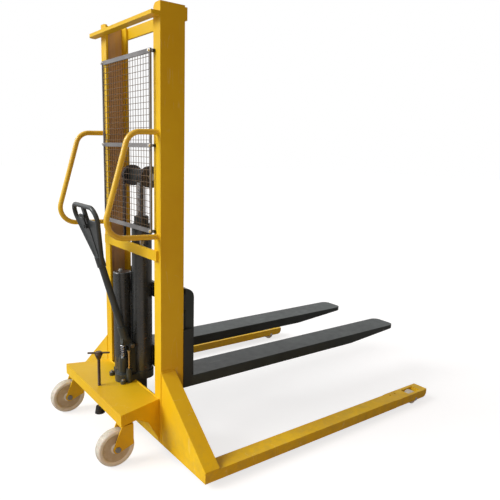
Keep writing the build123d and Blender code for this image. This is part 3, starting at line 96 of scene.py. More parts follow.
# ---------------------------------------------------------------- finishes
class Graph:
    """Adds and joins the nodes of one shader tree."""

    def __init__(self, tree):
        self.nodes, self.links = tree.nodes, tree.links

    def feed(self, socket, value):
        if isinstance(value, bpy.types.NodeSocket):
            self.links.new(value, socket)
        else:
            socket.default_value = value

    def add(self, kind, inputs=None, **settings):
        node = self.nodes.new(kind)
        for key, value in settings.items():
            setattr(node, key, value)
        for key, value in (inputs or {}).items():
            self.feed(node.inputs[key], value)
        return node

    def math(self, operation, a, b=0.0):
        return self.add("ShaderNodeMath", {0: a, 1: b}, operation=operation).outputs[0]

    def span(self, value, low, high, out_low=0.0, out_high=1.0):
        """Maps low..high to out_low..out_high, clamped."""
        return self.add("ShaderNodeMapRange", {"Value": value, "From Min": low, "From Max": high,
                                               "To Min": out_low, "To Max": out_high}).outputs[0]

    def mix(self, factor, a, b):
        node = self.add("ShaderNodeMix", data_type="RGBA")
        self.feed(node.inputs["Factor"], factor)
        self.feed(node.inputs[6], a if isinstance(a, bpy.types.NodeSocket) else (*a, 1))
        self.feed(node.inputs[7], b if isinstance(b, bpy.types.NodeSocket) else (*b, 1))
        return node.outputs[2]


class Finish(Graph):
    """One procedural material, laid out in object space, which is the machine's own frame."""

    def __init__(self, name, **values):
        self.material = bpy.data.materials.new(name)
        self.material.use_nodes = True
        super().__init__(self.material.node_tree)
        self.shader = self.nodes["Principled BSDF"]
        self.place = self.add("ShaderNodeTexCoord").outputs["Object"]
        self.wear(**values)

    def noise(self, scale, detail=3.0, roughness=0.55, stretch=(1, 1, 1)):
        """Noise from 0 to 1; stretch draws it out along an axis."""
        place = self.place
        if stretch != (1, 1, 1):
            shrink = tuple(1 / s for s in stretch)
            place = self.add("ShaderNodeMapping", {"Vector": place, "Scale": shrink}).outputs[0]
        return self.add("ShaderNodeTexNoise", {"Vector": place, "Scale": scale, "Detail": detail,
                                               "Roughness": roughness}).outputs["Fac"]

    def scratches(self, scale, stretch, width):
        """Thin broken lines, 1 on a line and 0 off it."""
        warp = self.noise(scale, 2.0, 0.6, stretch)
        away = self.math("ABSOLUTE", self.math("SUBTRACT", warp, 0.5))
        broken = self.span(self.noise(14.0), 0.5, 0.62)
        return self.math("MULTIPLY", self.span(away, width, 0.0), broken)

    def axis(self, name):
        return self.add("ShaderNodeSeparateXYZ", {0: self.place}).outputs[name]

    def between(self, value, low, high, soft):
        """1 where value lies between low and high."""
        rise = self.span(value, low - soft, low + soft)
        fall = self.span(value, high - soft, high + soft, 1.0, 0.0)
        return self.math("MULTIPLY", rise, fall)

    def soft_edges(self, radius):
        return self.add("ShaderNodeBevel", {"Radius": radius}, samples=4).outputs[0]

    def edge_wear(self, radius, amount):
        """Patches along edges, where the paint rubs off first."""
        plain = self.add("ShaderNodeNewGeometry").outputs["Normal"]
        dot = self.add("ShaderNodeVectorMath", {0: self.soft_edges(radius), 1: plain},
                       operation="DOT_PRODUCT").outputs["Value"]
        edge = self.span(dot, 0.97, 0.80)
        patch = self.span(self.noise(38.0, 5.0, 0.65), 0.66 - amount, 0.72 - amount)
        return self.math("MULTIPLY", edge, patch)

    def bump(self, height, strength, distance=0.0006, radius=0.0):
        inputs = {"Height": height, "Strength": strength, "Distance": distance}
        if radius:
            inputs["Normal"] = self.soft_edges(radius)
        return self.add("ShaderNodeBump", inputs).outputs[0]

    def wear(self, **values):
        for socket, value in values.items():
            self.feed(self.shader.inputs[socket.replace("_", " ")], value)
        return self.material


YELLOW = (0.88, 0.562, 0.010)
YELLOW_DEEP = (0.81, 0.470, 0.007)
PRIMER = (0.16, 0.085, 0.03)
FLOOR_DIRT = (0.30, 0.20, 0.085)
BLACK = (0.0140, 0.0172, 0.0165)
SCUFFED_YELLOW = (0.95, 0.80, 0.42)
# Pale streaked coat in the mast channels: partly a greasy smear, partly painted light that lifts the shade
# inside them.
GREASE_FILM_AND_LIGHT = (0.64, 0.48, 0.37)
RUBBED_STEEL, BARE_EDGE = (0.175, 0.195, 0.190), (0.20, 0.19, 0.18)
ENAMEL, ENAMEL_PALE, ENAMEL_EDGE = (0.027, 0.034, 0.032), (0.054, 0.062, 0.057), (0.12, 0.10, 0.085)
NYLON, NYLON_AGED = (0.90, 0.87, 0.78), (0.80, 0.75, 0.62)
# The first colour darkens the caster wheel's dish to a brown; the second is grit on the tread.
DISH_BROWN, TREAD_GRIT = (0.48, 0.375, 0.215), (0.36, 0.31, 0.24)
GUM, GUM_DUSTY = (0.014, 0.014, 0.014), (0.075, 0.066, 0.055)


def yellow_paint(name, grease_and_light_span=None, gloss=0.3, coat=0.0):
    """Sprayed machine yellow; a span given for a mast channel's inside, where rollers run, gets a pale
    streaked coat, partly a greasy smear and partly painted light that lifts the shade there.
    """
    paint = Finish(name, Specular_IOR_Level=gloss, Coat_Weight=coat, Coat_Roughness=0.12)
    colour = paint.mix(paint.span(paint.noise(2.6, 4.0), 0.35, 0.7), YELLOW, YELLOW_DEEP)
    low = paint.span(paint.axis("Z"), 0.30, 0.02)
    dirt = paint.math("MULTIPLY", low, paint.span(paint.noise(19.0, 6.0, 0.7), 0.42, 0.78))
    colour = paint.mix(paint.math("MULTIPLY", dirt, 0.42), colour, FLOOR_DIRT)
    scuff = paint.scratches(9.0, (1, 1, 7), 0.006)
    colour = paint.mix(paint.math("MULTIPLY", scuff, 0.25), colour, SCUFFED_YELLOW)
    colour = paint.mix(paint.edge_wear(0.0022, 0.06), colour, PRIMER)
    rough = paint.span(paint.noise(11.0, 5.0), 0.2, 0.8, 0.38, 0.54)
    if grease_and_light_span:
        x_face, y_low, y_high = grease_and_light_span
        inside = paint.span(paint.math("ABSOLUTE", paint.axis("X")), x_face + 0.0012, x_face + 0.0002)
        inside = paint.math("MULTIPLY", inside, paint.between(paint.axis("Y"), y_low, y_high, 0.0002))
        streak = paint.span(paint.noise(26.0, 4.0, 0.6, (1, 1, 14)), 0.25, 0.75, 0.50, 0.92)
        # The pale coat is partly a greasy smear and partly painted light, lifting the shade inside the
        # channel.
        grease_and_light = paint.math("MULTIPLY", inside, streak)
        colour = paint.mix(grease_and_light, colour, GREASE_FILM_AND_LIGHT)
        rough = paint.math("SUBTRACT", rough, paint.math("MULTIPLY", grease_and_light, 0.12))
    peel = paint.noise(620.0, 2.0, 0.5)
    return paint.wear(Base_Color=colour, Roughness=rough, Normal=paint.bump(peel, 0.10, 0.0004, 0.0016))


def black_paint(name, colour=BLACK, gloss=0.30, scuffed=0.0, radius=0.0016, shaded_lugs=None, shine=0.4):
    """Black machine paint; scuffed is how far loads have rubbed it on top. A span of y given for the guard's
    lug plates is painted black: painted shade between the guard and the mast.
    """
    paint = Finish(name, Specular_IOR_Level=shine)
    worn = tuple(c * 2.1 + 0.004 for c in colour)
    shade = paint.mix(paint.span(paint.noise(4.0, 5.0), 0.35, 0.75), colour, worn)
    rough = paint.span(paint.noise(23.0, 5.0), 0.2, 0.8, gloss, gloss + 0.16)
    if scuffed:
        up = paint.add("ShaderNodeNewGeometry").outputs["Normal"]
        up = paint.add("ShaderNodeSeparateXYZ", {0: up}).outputs["Z"]
        faces = paint.span(up, 0.85, 0.97)
        rubbed = paint.math("MAXIMUM", paint.scratches(16.0, (1, 26, 1), 0.010),
                            paint.math("MULTIPLY", paint.span(paint.noise(5.0, 7.0, 0.7), 0.50, 0.72), 0.6))
        rubbed = paint.math("MULTIPLY", paint.math("MULTIPLY", rubbed, faces), scuffed)
        shade = paint.mix(rubbed, shade, RUBBED_STEEL)
        rough = paint.math("ADD", rough, paint.math("MULTIPLY", rubbed, 0.22))
    # Painted shade: black over the span of y where each lug plate stands between the guard and the mast.
    if shaded_lugs:
        shade = paint.mix(paint.between(paint.axis("Y"), *shaded_lugs, 0.0004), shade, BLACK)
    shade = paint.mix(paint.edge_wear(0.002, 0.07), shade, BARE_EDGE)
    peel = paint.noise(500.0, 2.0, 0.5)
    return paint.wear(Base_Color=shade, Roughness=rough, Normal=paint.bump(peel, 0.10, 0.0004, radius))


def casting(name):
    """Gloss black enamel over a sand casting."""
    paint = Finish(name, Specular_IOR_Level=0.5, Coat_Weight=0.25, Coat_Roughness=0.2)
    shade = paint.mix(paint.span(paint.noise(12.0, 5.0), 0.4, 0.75), ENAMEL, ENAMEL_PALE)
    shade = paint.mix(paint.edge_wear(0.002, 0.05), shade, ENAMEL_EDGE)
    grain = paint.math("ADD", paint.noise(190.0, 4.0, 0.6), paint.math("MULTIPLY", paint.noise(45.0), 1.5))
    rough = paint.span(paint.noise(30.0, 4.0), 0.2, 0.8, 0.32, 0.50)
    return paint.wear(Base_Color=shade, Roughness=rough, Normal=paint.bump(grain, 0.22, 0.0011, 0.0022))


def steel(name, colour, rough, grain_scale, stretch, metallic=1.0, stain=(0.2, 0.15, 0.1), stained=0.2):
    """Bare metal with turning or drawing marks along one axis."""
    metal = Finish(name, Metallic=metallic)
    cloud = metal.span(metal.noise(34.0, 6.0, 0.65), 0.45, 0.8)
    shade = metal.mix(metal.math("MULTIPLY", cloud, stained), colour, stain)
    lines = metal.noise(grain_scale, 3.0, 0.6, stretch)
    roughness = metal.span(lines, 0.2, 0.8, rough - 0.05, rough + 0.10)
    return metal.wear(Base_Color=shade, Roughness=roughness, Normal=metal.bump(lines, 0.08, 0.0003, 0.0006))


def nylon(name, wheels):
    """Cast cream nylon; wheels is a list of (axle's y, z, tread radius, dish radii)."""
    plastic = Finish(name, Specular_IOR_Level=0.5, Subsurface_Weight=0.06, Subsurface_Scale=0.004)
    shade = plastic.mix(plastic.span(plastic.noise(16.0, 4.0), 0.35, 0.75), NYLON, NYLON_AGED)
    y, z = plastic.axis("Y"), plastic.axis("Z")
    for axle_y, axle_z, tread, dish in wheels:
        across = plastic.math("SUBTRACT", y, axle_y)
        above = plastic.math("SUBTRACT", z, axle_z)
        spread = plastic.math("ADD", plastic.math("MULTIPLY", across, across),
                              plastic.math("MULTIPLY", above, above))
        radius = plastic.math("SQRT", spread)
        # The wheel's dish is made a darker, mottled brown.
        if dish:
            in_dish = plastic.between(radius, dish[0], dish[1], 0.0016)
            dish_mottle = plastic.span(plastic.noise(42.0, 6.0, 0.7), 0.2, 0.75, 0.55, 1.0)
            shade = plastic.mix(plastic.math("MULTIPLY", in_dish, dish_mottle), shade, DISH_BROWN)
        worn = plastic.between(radius, tread - 0.0022, tread + 0.002, 0.0012)
        speck = plastic.span(plastic.noise(75.0, 6.0, 0.75), 0.3, 0.7, 0.15, 0.8)
        shade = plastic.mix(plastic.math("MULTIPLY", worn, speck), shade, TREAD_GRIT)
    rough = plastic.span(plastic.noise(60.0, 5.0), 0.2, 0.8, 0.36, 0.58)
    scratch = plastic.noise(210.0, 5.0, 0.7)
    return plastic.wear(Base_Color=shade, Roughness=rough, Normal=plastic.bump(scratch, 0.12, 0.0005, 0.0012))


def rubber(name):
    gum = Finish(name, Specular_IOR_Level=0.35)
    shade = gum.mix(gum.span(gum.noise(60.0, 6.0, 0.7), 0.45, 0.8), GUM, GUM_DUSTY)
    pits = gum.noise(420.0, 4.0, 0.6)
    return gum.wear(Base_Color=shade, Roughness=gum.span(pits, 0.2, 0.8, 0.68, 0.88),
                    Normal=gum.bump(pits, 0.25, 0.0006, 0.0015))


channel_low, channel_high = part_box("mast_channel_right")
FLANGE_T, WEB_T = 11 * MM, 8 * MM
caster_wheel = centre(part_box("caster_wheel_right"))
leg_wheel = centre(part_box("leg_roller_right"))
guard_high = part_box("guard_frame")[1]
LUG_DEPTH = 13.4 * MM
CASTER_TREAD, CASTER_DISH, LEG_TREAD = 0.090, (0.0262, 0.0665), 0.037
FINISH = {
    "yellow_paint": yellow_paint("yellow_paint"),
    # The mast channels' insides get a pale streaked coat: partly greasy, partly painted light.
    "channel_paint": yellow_paint("channel_paint", (channel_high.x - WEB_T, channel_low.y + FLANGE_T - 0.0006,
                                                   channel_high.y - FLANGE_T - 0.0012)),
    "black_paint": black_paint("black_paint"),
    "fork_paint": black_paint("fork_paint", (0.0170, 0.0235, 0.0225), 0.27, 0.80),
    "grip_paint": yellow_paint("grip_paint", gloss=0.5, coat=0.6),
    "tiller_paint": black_paint("tiller_paint", (0.030, 0.036, 0.038), 0.24, shine=0.5),
    "jacket_paint": black_paint("jacket_paint", (0.022, 0.0245, 0.0245), 0.20, shine=0.95),
    # The guard's lug plates next to the mast get painted shade in black.
    "guard_paint": black_paint("guard_paint", (0.150, 0.148, 0.150), 0.40, radius=0.0012,
                               shaded_lugs=(guard_high.y - LUG_DEPTH, guard_high.y + 1 * MM)),
    "mesh_paint": black_paint("mesh_paint", (0.105, 0.074, 0.050), 0.62, radius=0.0008, shine=0.2),
    "clean_steel": steel("clean_steel", (0.82, 0.81, 0.79), 0.36, 260.0, (1, 1, 1), stained=0.06),
    "black_casting": casting("black_casting"),
    "bright_steel": steel("bright_steel", (0.60, 0.60, 0.58), 0.30, 260.0, (1, 1, 1), stained=0.25),
    "dull_steel": steel("dull_steel", (0.34, 0.33, 0.31), 0.40, 260.0, (1, 1, 1), stained=0.4),
    "oiled_steel": steel("oiled_steel", (0.105, 0.105, 0.115), 0.36, 240.0, (1, 1, 1), stained=0.5,
                         stain=(0.05, 0.042, 0.034)),
    "screw_steel": steel("screw_steel", (0.14, 0.10, 0.075), 0.42, 260.0, (1, 1, 1), 0.85, stained=0.6,
                         stain=(0.09, 0.045, 0.022)),
    "chromed_steel": steel("chromed_steel", (0.80, 0.81, 0.83), 0.09, 300.0, (8, 8, 1), stained=0.05),
    "cream_nylon": nylon("cream_nylon", [(caster_wheel.y, caster_wheel.z, CASTER_TREAD, CASTER_DISH),
                                         (leg_wheel.y, leg_wheel.z, LEG_TREAD, None)]),
    "brass": steel("brass", (0.74, 0.50, 0.19), 0.26, 300.0, (1, 1, 6), stain=(0.25, 0.14, 0.05)),
    "black_rubber": rubber("black_rubber"),
}
SPECIAL = {"mast_channel_left": "channel_paint", "mast_channel_right": "channel_paint",
           "fork_left": "fork_paint", "fork_right": "fork_paint", "guard_frame": "guard_paint",
           "guard_mesh": "mesh_paint", "tiller_pin": "dull_steel",
           "push_handle_left": "grip_paint", "push_handle_right": "grip_paint",
           "lift_cylinder": "jacket_paint", "oil_reservoir": "jacket_paint",
           "tiller_handle": "tiller_paint", "tiller_shaft": "tiller_paint"}

for part in frame["record"]["subparts"]:
    mesh = NODES[part["node"]].data
    mesh.materials.clear()
    mesh.materials.append(FINISH[SPECIAL.get(part["node"], part["material_slot"])])


# ---------------------------------------------------------------- pieces built from rings of points
class Shape:
    """Points and faces of one piece, gathered from skinned rings."""

    def __init__(self):
        self.points, self.faces = [], []

    def skin(self, rings, closed=False):
        """Skins a row of equal rings, and caps both ends unless the row closes on itself."""
        start, size, count = len(self.points), len(rings[0]), len(rings)
        for ring in rings:
            self.points.extend(ring)
        for row in range(count if closed else count - 1):
            a, b = start + row * size, start + (row + 1) % count * size
            for i in range(size):
                k = (i + 1) % size
                self.faces.append((a + i, a + k, b + k, b + i))
        if not closed:
            last = start + (count - 1) * size
            self.faces.append(tuple(range(start + size - 1, start - 1, -1)))
            self.faces.append(tuple(range(last, last + size)))
        return self

    def lathe(self, profile, origin, axis, closed=False, steps=48, reach=None):
        """Turns (radius, along) pairs round an axis; reach(angle, radius, along) may bend a ring."""
        u, v, w = axes_of(axis)
        rings = []
        for radius, along in profile:
            ring = []
            for i in range(steps):
                turn = 2 * math.pi * i / steps
                r, t = reach(turn, radius, along) if reach else (radius, along)
                ring.append(origin + u * (r * math.cos(turn)) + v * (r * math.sin(turn)) + w * t)
            rings.append(ring)
        return self.skin(rings, closed)

    def make(self, name, body, slot, finish=None, angle=32):
        mesh = bpy.data.meshes.new(name)
        mesh.from_pydata(self.points, [], self.faces)
        skin = bmesh.new()
        skin.from_mesh(mesh)
        bmesh.ops.recalc_face_normals(skin, faces=skin.faces)
        skin.to_mesh(mesh)
        skin.free()
        mesh.shade_smooth()
        mesh.set_sharp_from_angle(angle=math.radians(angle))
        mesh.materials.append(FINISH[finish or slot])
        piece = bpy.data.objects.new(name, mesh)
        bpy.context.scene.collection.objects.link(piece)
        if body:
            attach(piece, body)
        return piece


def axes_of(axis):
    w = Vector(axis).normalized()
    u = Vector((0, 0, 1)) if abs(w.z) < 0.9 else Vector((1, 0, 0))
    u = (u - w * u.dot(w)).normalized()
    return u, w.cross(u), w


def rounded(corners, radius, closed=False, steps=4):
    """Rounds each corner of a line of (radius, along) pairs."""
    points, count = [], len(corners)
    for i, (x, y) in enumerate(corners):
        if not closed and i in (0, count - 1):
            points.append((x, y))
            continue
        here = Vector((x, y))
        before, after = Vector(corners[i - 1]) - here, Vector(corners[(i + 1) % count]) - here
        cut = min(radius, before.length * 0.45, after.length * 0.45)
        start, end = here + before.normalized() * cut, here + after.normalized() * cut
        for k in range(steps + 1):
            t = k / steps
            spot = start * (1 - t) ** 2 + here * (2 * t * (1 - t)) + end * t ** 2
            points.append((spot.x, spot.y))
    return points


# ---------------------------------------------------------------- weld beads
BEAD_STEP = 1.7 * MM
RIPPLE = 5.2 * MM
RING_BEAD, HEAVY_BEAD = 3.2 * MM, 4.2 * MM


def bead(shape, start, end, size=3.6 * MM):
    """A rippled bead half sunk in the corner between two plates."""
    run = (end - start).length
    count = max(4, round(run / BEAD_STEP))
    u, v, w = axes_of(end - start)
    phase, drift = random.uniform(0, 6.28), random.uniform(0, 6.28)
    rings = []
    for i in range(count + 1):
        along = run * i / count
        ends = min(1.0, 0.35 + min(along, run - along) / (1.4 * size))
        ripple = 1 + 0.10 * math.sin(2 * math.pi * along / RIPPLE + phase)
        wander = 1 + 0.07 * math.sin(along * 61 + drift)
        radius = size * ends * ripple * wander
        ring = []
        for k in range(8):
            turn = math.pi * k / 4
            ring.append(start + w * along + u * (radius * math.cos(turn)) + v * (radius * math.sin(turn)))
        rings.append(ring)
    shape.skin(rings)


def ring_bead(shape, middle, axis, radius):
    """A rippled bead round a tube that stands on a plate."""
    u, v, w = axes_of(axis)
    count = round(2 * math.pi * radius / BEAD_STEP)
    waves = max(1, round(2 * math.pi * radius / RIPPLE))
    rings = []
    for i in range(count):
        turn = 2 * math.pi * i / count
        out = u * math.cos(turn) + v * math.sin(turn)
        thick = RING_BEAD * (1 + 0.11 * math.sin(waves * turn))
        rings.append([middle + out * (radius + thick * math.cos(math.pi * k / 4))
                      + w * (thick * math.sin(math.pi * k / 4)) for k in range(8)])
    shape.skin(rings, closed=True)


HANDLE_ENDS = (1.536, 1.061)  # heights at which a push handle is welded on
SHANK_FRONT = -522 * MM
FORK_THICKNESS = 55 * MM
FORK_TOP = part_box("fork_right")[0].z + FORK_THICKNESS


def chassis_welds():
    shape = Shape()
    plate_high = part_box("base_plate")[1]
    bar_low, bar_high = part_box("mast_mid_crossbar")
    top_low, top_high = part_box("mast_top_rear_bar")
    front_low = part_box("mast_top_front_plate")[0]
    gusset_low, gusset_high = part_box("outrigger_right")
    leg_low, leg_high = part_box("leg_right")
    rear, front = channel_low.y, channel_high.y
    for name, side in SIDES.items():
        outer, inner = side * channel_high.x, side * channel_low.x
        for y in (gusset_low.y, gusset_high.y):
            bead(shape, Vector((outer, y, gusset_low.z + 0.002)),
                 Vector((outer, y, gusset_high.z)), HEAVY_BEAD)
        bead(shape, Vector((outer, gusset_low.y, gusset_high.z)),
             Vector((outer, gusset_high.y, gusset_high.z)), HEAVY_BEAD)
        end = side * bar_high.x
        bead(shape, Vector((end, rear, bar_low.z)), Vector((end, rear, bar_high.z)))
        for z in (bar_low.z, bar_high.z):
            bead(shape, Vector((inner, rear, z)), Vector((end, rear, z)))
        for z in (top_low.z, top_high.z):
            bead(shape, Vector((inner, rear, z)), Vector((outer, rear, z)), 3.0 * MM)
        bead(shape, Vector((inner, front, front_low.z)), Vector((outer, front, front_low.z)))
        bead(shape, Vector((side * (leg_low.x + 0.004), gusset_high.y, leg_high.z)),
             Vector((side * gusset_high.x, gusset_high.y, leg_high.z)))
        low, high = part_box(f"push_handle_{name}")
        for z in HANDLE_ENDS:
            ring_bead(shape, Vector((centre((low, high)).x, high.y, z)), (0, 1, 0.02), (high.x - low.x) / 2)
    half = channel_high.x - 0.020
    bead(shape, Vector((-half, plate_high.y, plate_high.z)),
         Vector((half, plate_high.y, plate_high.z)), HEAVY_BEAD)
    for low, high in solids("caster_housings"):
        middle = centre((low, high))
        ring_bead(shape, Vector((middle.x, middle.y, high.z)), (0, 0, 1), (high.x - low.x) / 2)
    return shape.make("chassis_weld_beads", "chassis", "yellow_paint", angle=60)


def carriage_welds():
    shape = Shape()
    for name, side in SIDES.items():
        low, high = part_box(f"fork_{name}")
        plates = solids("fork_side_plates")[0 if side < 0 else 1]
        inner = high.x if side < 0 else low.x
        outer = plates[1].x if side < 0 else plates[0].x
        bead(shape, Vector((inner, SHANK_FRONT, FORK_TOP)), Vector((outer, SHANK_FRONT, FORK_TOP)), 4.6 * MM)
        step = plates[1].y
        bead(shape, Vector((outer, step, FORK_TOP + 0.004)),
             Vector((outer, step, plates[1].z - 0.006)), 3.4 * MM)
        far = plates[0].x if side < 0 else plates[1].x
        bead(shape, Vector((outer, step, FORK_TOP)), Vector((far, step, FORK_TOP)))
    return shape.make("carriage_weld_beads", "carriage", "black_paint", "fork_paint", angle=60)


chassis_welds()
carriage_welds()


# ---------------------------------------------------------------- leaf chains
CHAIN_PITCH = 12.3 * MM
PLATE_STEP = 2.28 * MM
PIN_RADIUS, PIN_HALF = 2.5 * MM, 8 * MM
WRAP_HALF = 6 * MM


def chain(shape, pins, half_height):
    """Laced plates between pins, which are points in one x plane."""
    across = Vector((1, 0, 0))
    for i, (here, there) in enumerate(zip(pins, pins[1:])):
        run = (there - here).normalized()
        up = across.cross(run)
        outline = []
        for middle, first in ((there, -90), (here, 90)):
            for k in range(7):
                turn = math.radians(first + 30 * k)
                outline.append(middle + (run * math.cos(turn) + up * math.sin(turn)) * half_height * 0.94)
            waist = (here + there) / 2 + up * (half_height * (0.80 if middle is there else -0.80))
            outline.append(waist)
        for k in ((-3, -1, 1, 3) if i % 2 else (-2, 0, 2)):
            x, half = k * PLATE_STEP, 0.46 * PLATE_STEP
            shape.skin([[p + across * (x + end) for p in outline] for end in (-half, half)])
    for pin in pins:
        profile = [(0.0003, -PIN_HALF), (PIN_RADIUS, -PIN_HALF), (PIN_RADIUS, PIN_HALF), (0.0003, PIN_HALF)]
        shape.lathe(rounded(profile, 0.6 * MM, steps=2), pin, (1, 0, 0), steps=10)


def strand(name, node):
    """Straight runs of chain in place of a CAD node's plain bars."""
    shape = Shape()
    for low, high in solids(node):
        middle = centre((low, high))
        count = round((high.z - low.z) / CHAIN_PITCH)
        pins = [Vector((middle.x, middle.y, low.z + (high.z - low.z) * i / count)) for i in range(count + 1)]
        chain(shape, pins, (high.y - low.y) / 2)
    piece = shape.make(name, None, "oiled_steel")
    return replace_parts(piece, node)


low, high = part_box("chain_rear_strands")
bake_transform(strand("lift_chain_rear", "chain_rear_strands"))
low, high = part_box("chain_front_strands")
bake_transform(strand("lift_chain_front", "chain_front_strands"))

wraps = Shape()
for low, high in solids("chain_wraps"):
    middle = centre((low, high))
    radius = (high.y - low.y) / 2 - WRAP_HALF
    arc = [math.pi * i / 12 for i in range(13)]
    chain(wraps, [Vector((middle.x, middle.y + radius * math.cos(t), low.z + radius * math.sin(t)))
                  for t in arc], WRAP_HALF)
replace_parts(wraps.make("lift_chain_wraps", "ram", "oiled_steel"), "chain_wraps")


# ---------------------------------------------------------------- pump's return spring
SPRING_TURNS, SPRING_WIRE = 4.5, 2 * MM


def return_spring():
    """Coil between the barrel and the plunger's cap; the real spring shortens as the plunger goes down, but
    this coil is a fixed shape.
    """
    low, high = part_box("pump_spring")
    middle, radius = centre((low, high)), (high.x - low.x) / 2 - SPRING_WIRE
    up, count, rings = Vector((0, 0, 1)), round(SPRING_TURNS * 28), []
    for i in range(count + 1):
        turn = 2 * math.pi * SPRING_TURNS * i / count
        out = Vector((math.cos(turn), math.sin(turn), 0))
        z = low.z + SPRING_WIRE + (high.z - low.z - 2 * SPRING_WIRE) * i / count
        point = Vector((middle.x, middle.y, z)) + out * radius
        rings.append([point + (out * math.cos(a) + up * math.sin(a)) * (SPRING_WIRE * 0.99)
                      for a in (2 * math.pi * k / 10 for k in range(10))])
    coil = Shape().skin(rings).make("pump_return_spring", None, "oiled_steel", angle=60)
    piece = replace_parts(coil, "pump_spring")
    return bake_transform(piece)


return_spring()


# ---------------------------------------------------------------- casters
CASTER_BEARING = ((17.2, 20.2, 3.5, 0.7), (10.05, 13, 3.7, 0.7), (12.8, 17.4, 2.7, 0.4))  # rings, in mm


def ring_profile(inner, outer, half, soft):
    return rounded([(inner, -half), (outer, -half), (outer, half), (inner, half)], soft, closed=True)


def detailed_caster(name):
    low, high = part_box(f"caster_wheel_{name}")
    middle, half = centre((low, high)), (high.x - low.x) / 2
    side = [(10.4, half / MM), (20.8, half / MM), (26, 16), (33, 15.4), (60, 15.4), (66, 16.2), (70.5, 21.6),
            (73, 22.8), (82, 23.2), (88, 18), (90, 11)]
    profile = [(r * MM, t * MM) for r, t in side] + [(r * MM, -t * MM) for r, t in reversed(side)]
    wheel = Shape().lathe(rounded(profile, 2.6 * MM, closed=True, steps=5), middle, (1, 0, 0), True, 96)
    piece = wheel.make(f"cast_wheel_{name}", f"caster_wheel_{name}", "cream_nylon")
    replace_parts(piece, f"caster_wheel_{name}")
    bearing = Shape()
    for end in (-1, 1):
        face = middle + Vector((end * (half - 3 * MM), 0, 0))
        for ring in CASTER_BEARING:
            bearing.lathe(ring_profile(*(size * MM for size in ring)), face, (1, 0, 0), True, 48)
    bearing.make(f"caster_bearings_{name}", f"caster_wheel_{name}", "bright_steel")


# ---------------------------------------------------------------- bolts and nuts
GUARD_BOLT = {"width": 11.7 * MM, "height": 6.7 * MM, "washer": 8 * MM, "washer_t": 2 * MM}
FOOT_BOLT = {"width": 14.7 * MM, "height": 6.7 * MM, "washer": 11 * MM, "washer_t": 2 * MM}
GUARD_SHANK, FOOT_SHANK = 4 * MM, 5 * MM
BOLT_STACK = 9 * MM  # washer and head together
AXLE_RADIUS, AXLE_HEAD = 10 * MM, 26 * MM
OUTER_HEIGHT, INNER_HEIGHT = 8 * MM, 7 * MM


def hexagon(width, height):
    """A reach function for lathe: a hexagon across flats, with its corners chamfered at 30 degrees."""
    def reach(turn, radius, along):
        flat = width / 2 / math.cos((turn + math.pi / 6) % (math.pi / 3) - math.pi / 6)
        if along <= 0:
            return min(radius, flat), along
        spare = max(0.0, min(radius, flat) - width / 2 * 0.96)
        return min(radius, flat), along - spare * 0.55 if along > height * 0.6 else along
    return reach


def hex_head(shape, seat, axis, width, height, washer=0.0, washer_t=0.0):
    if washer:
        disc = [(0.0004, 0), (washer, 0), (washer, washer_t), (0.0004, washer_t)]
        shape.lathe(rounded(disc, 0.4 * MM), seat, axis)
    base = seat + Vector(axis).normalized() * washer_t
    profile = [(0.0004, 0), (width, 0.0), (width, height * 0.7), (width, height),
               (width * 0.46, height + 0.1 * MM), (width * 0.43, height),
               (width * 0.34, height - 0.25 * MM), (0.0004, height - 0.25 * MM)]
    shape.lathe(profile, base, axis, steps=48, reach=hexagon(width, height))


guard_bolts = Shape()
for low, high in solids("guard_bolts"):
    middle = centre((low, high))
    seat = Vector((middle.x, low.y + BOLT_STACK, middle.z))
    hex_head(guard_bolts, seat, (0, -1, 0), **GUARD_BOLT)
    guard_bolts.lathe([(GUARD_SHANK, 0), (GUARD_SHANK, high.y - seat.y)], seat, (0, 1, 0), steps=20)
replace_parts(guard_bolts.make("guard_hex_bolts", "chassis", "bright_steel", "clean_steel"), "guard_bolts")

foot_bolts = Shape()
for low, high in solids("pump_base_bolts"):
    middle = centre((low, high))
    seat = Vector((middle.x, middle.y, high.z - BOLT_STACK))
    hex_head(foot_bolts, seat, (0, 0, 1), **FOOT_BOLT)
    foot_bolts.lathe([(FOOT_SHANK, low.z - seat.z), (FOOT_SHANK, 0)], seat, (0, 0, 1), steps=20)
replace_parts(foot_bolts.make("casting_hex_bolts", "chassis", "bright_steel", "dull_steel"), "pump_base_bolts")

for name, side in SIDES.items():
    detailed_caster(name)
    low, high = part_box(f"caster_axle_{name}")
    y, z = centre((low, high)).y, centre((low, high)).z
    axle = Shape().lathe([(AXLE_RADIUS, low.x + 6 * MM), (AXLE_RADIUS, high.x - 8 * MM)], Vector((0, y, z)),
                         (1, 0, 0))
    for end in (-1, 1):
        height = OUTER_HEIGHT if end == side else INNER_HEIGHT
        face = low.x + height if end < 0 else high.x - height
        hex_head(axle, Vector((face, y, z)), (end, 0, 0), AXLE_HEAD, height - 0.3 * MM)
    bolt = axle.make(f"caster_bolt_{name}", f"caster_swivel_{name}", "bright_steel", "dull_steel")
    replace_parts(bolt, f"caster_axle_{name}")


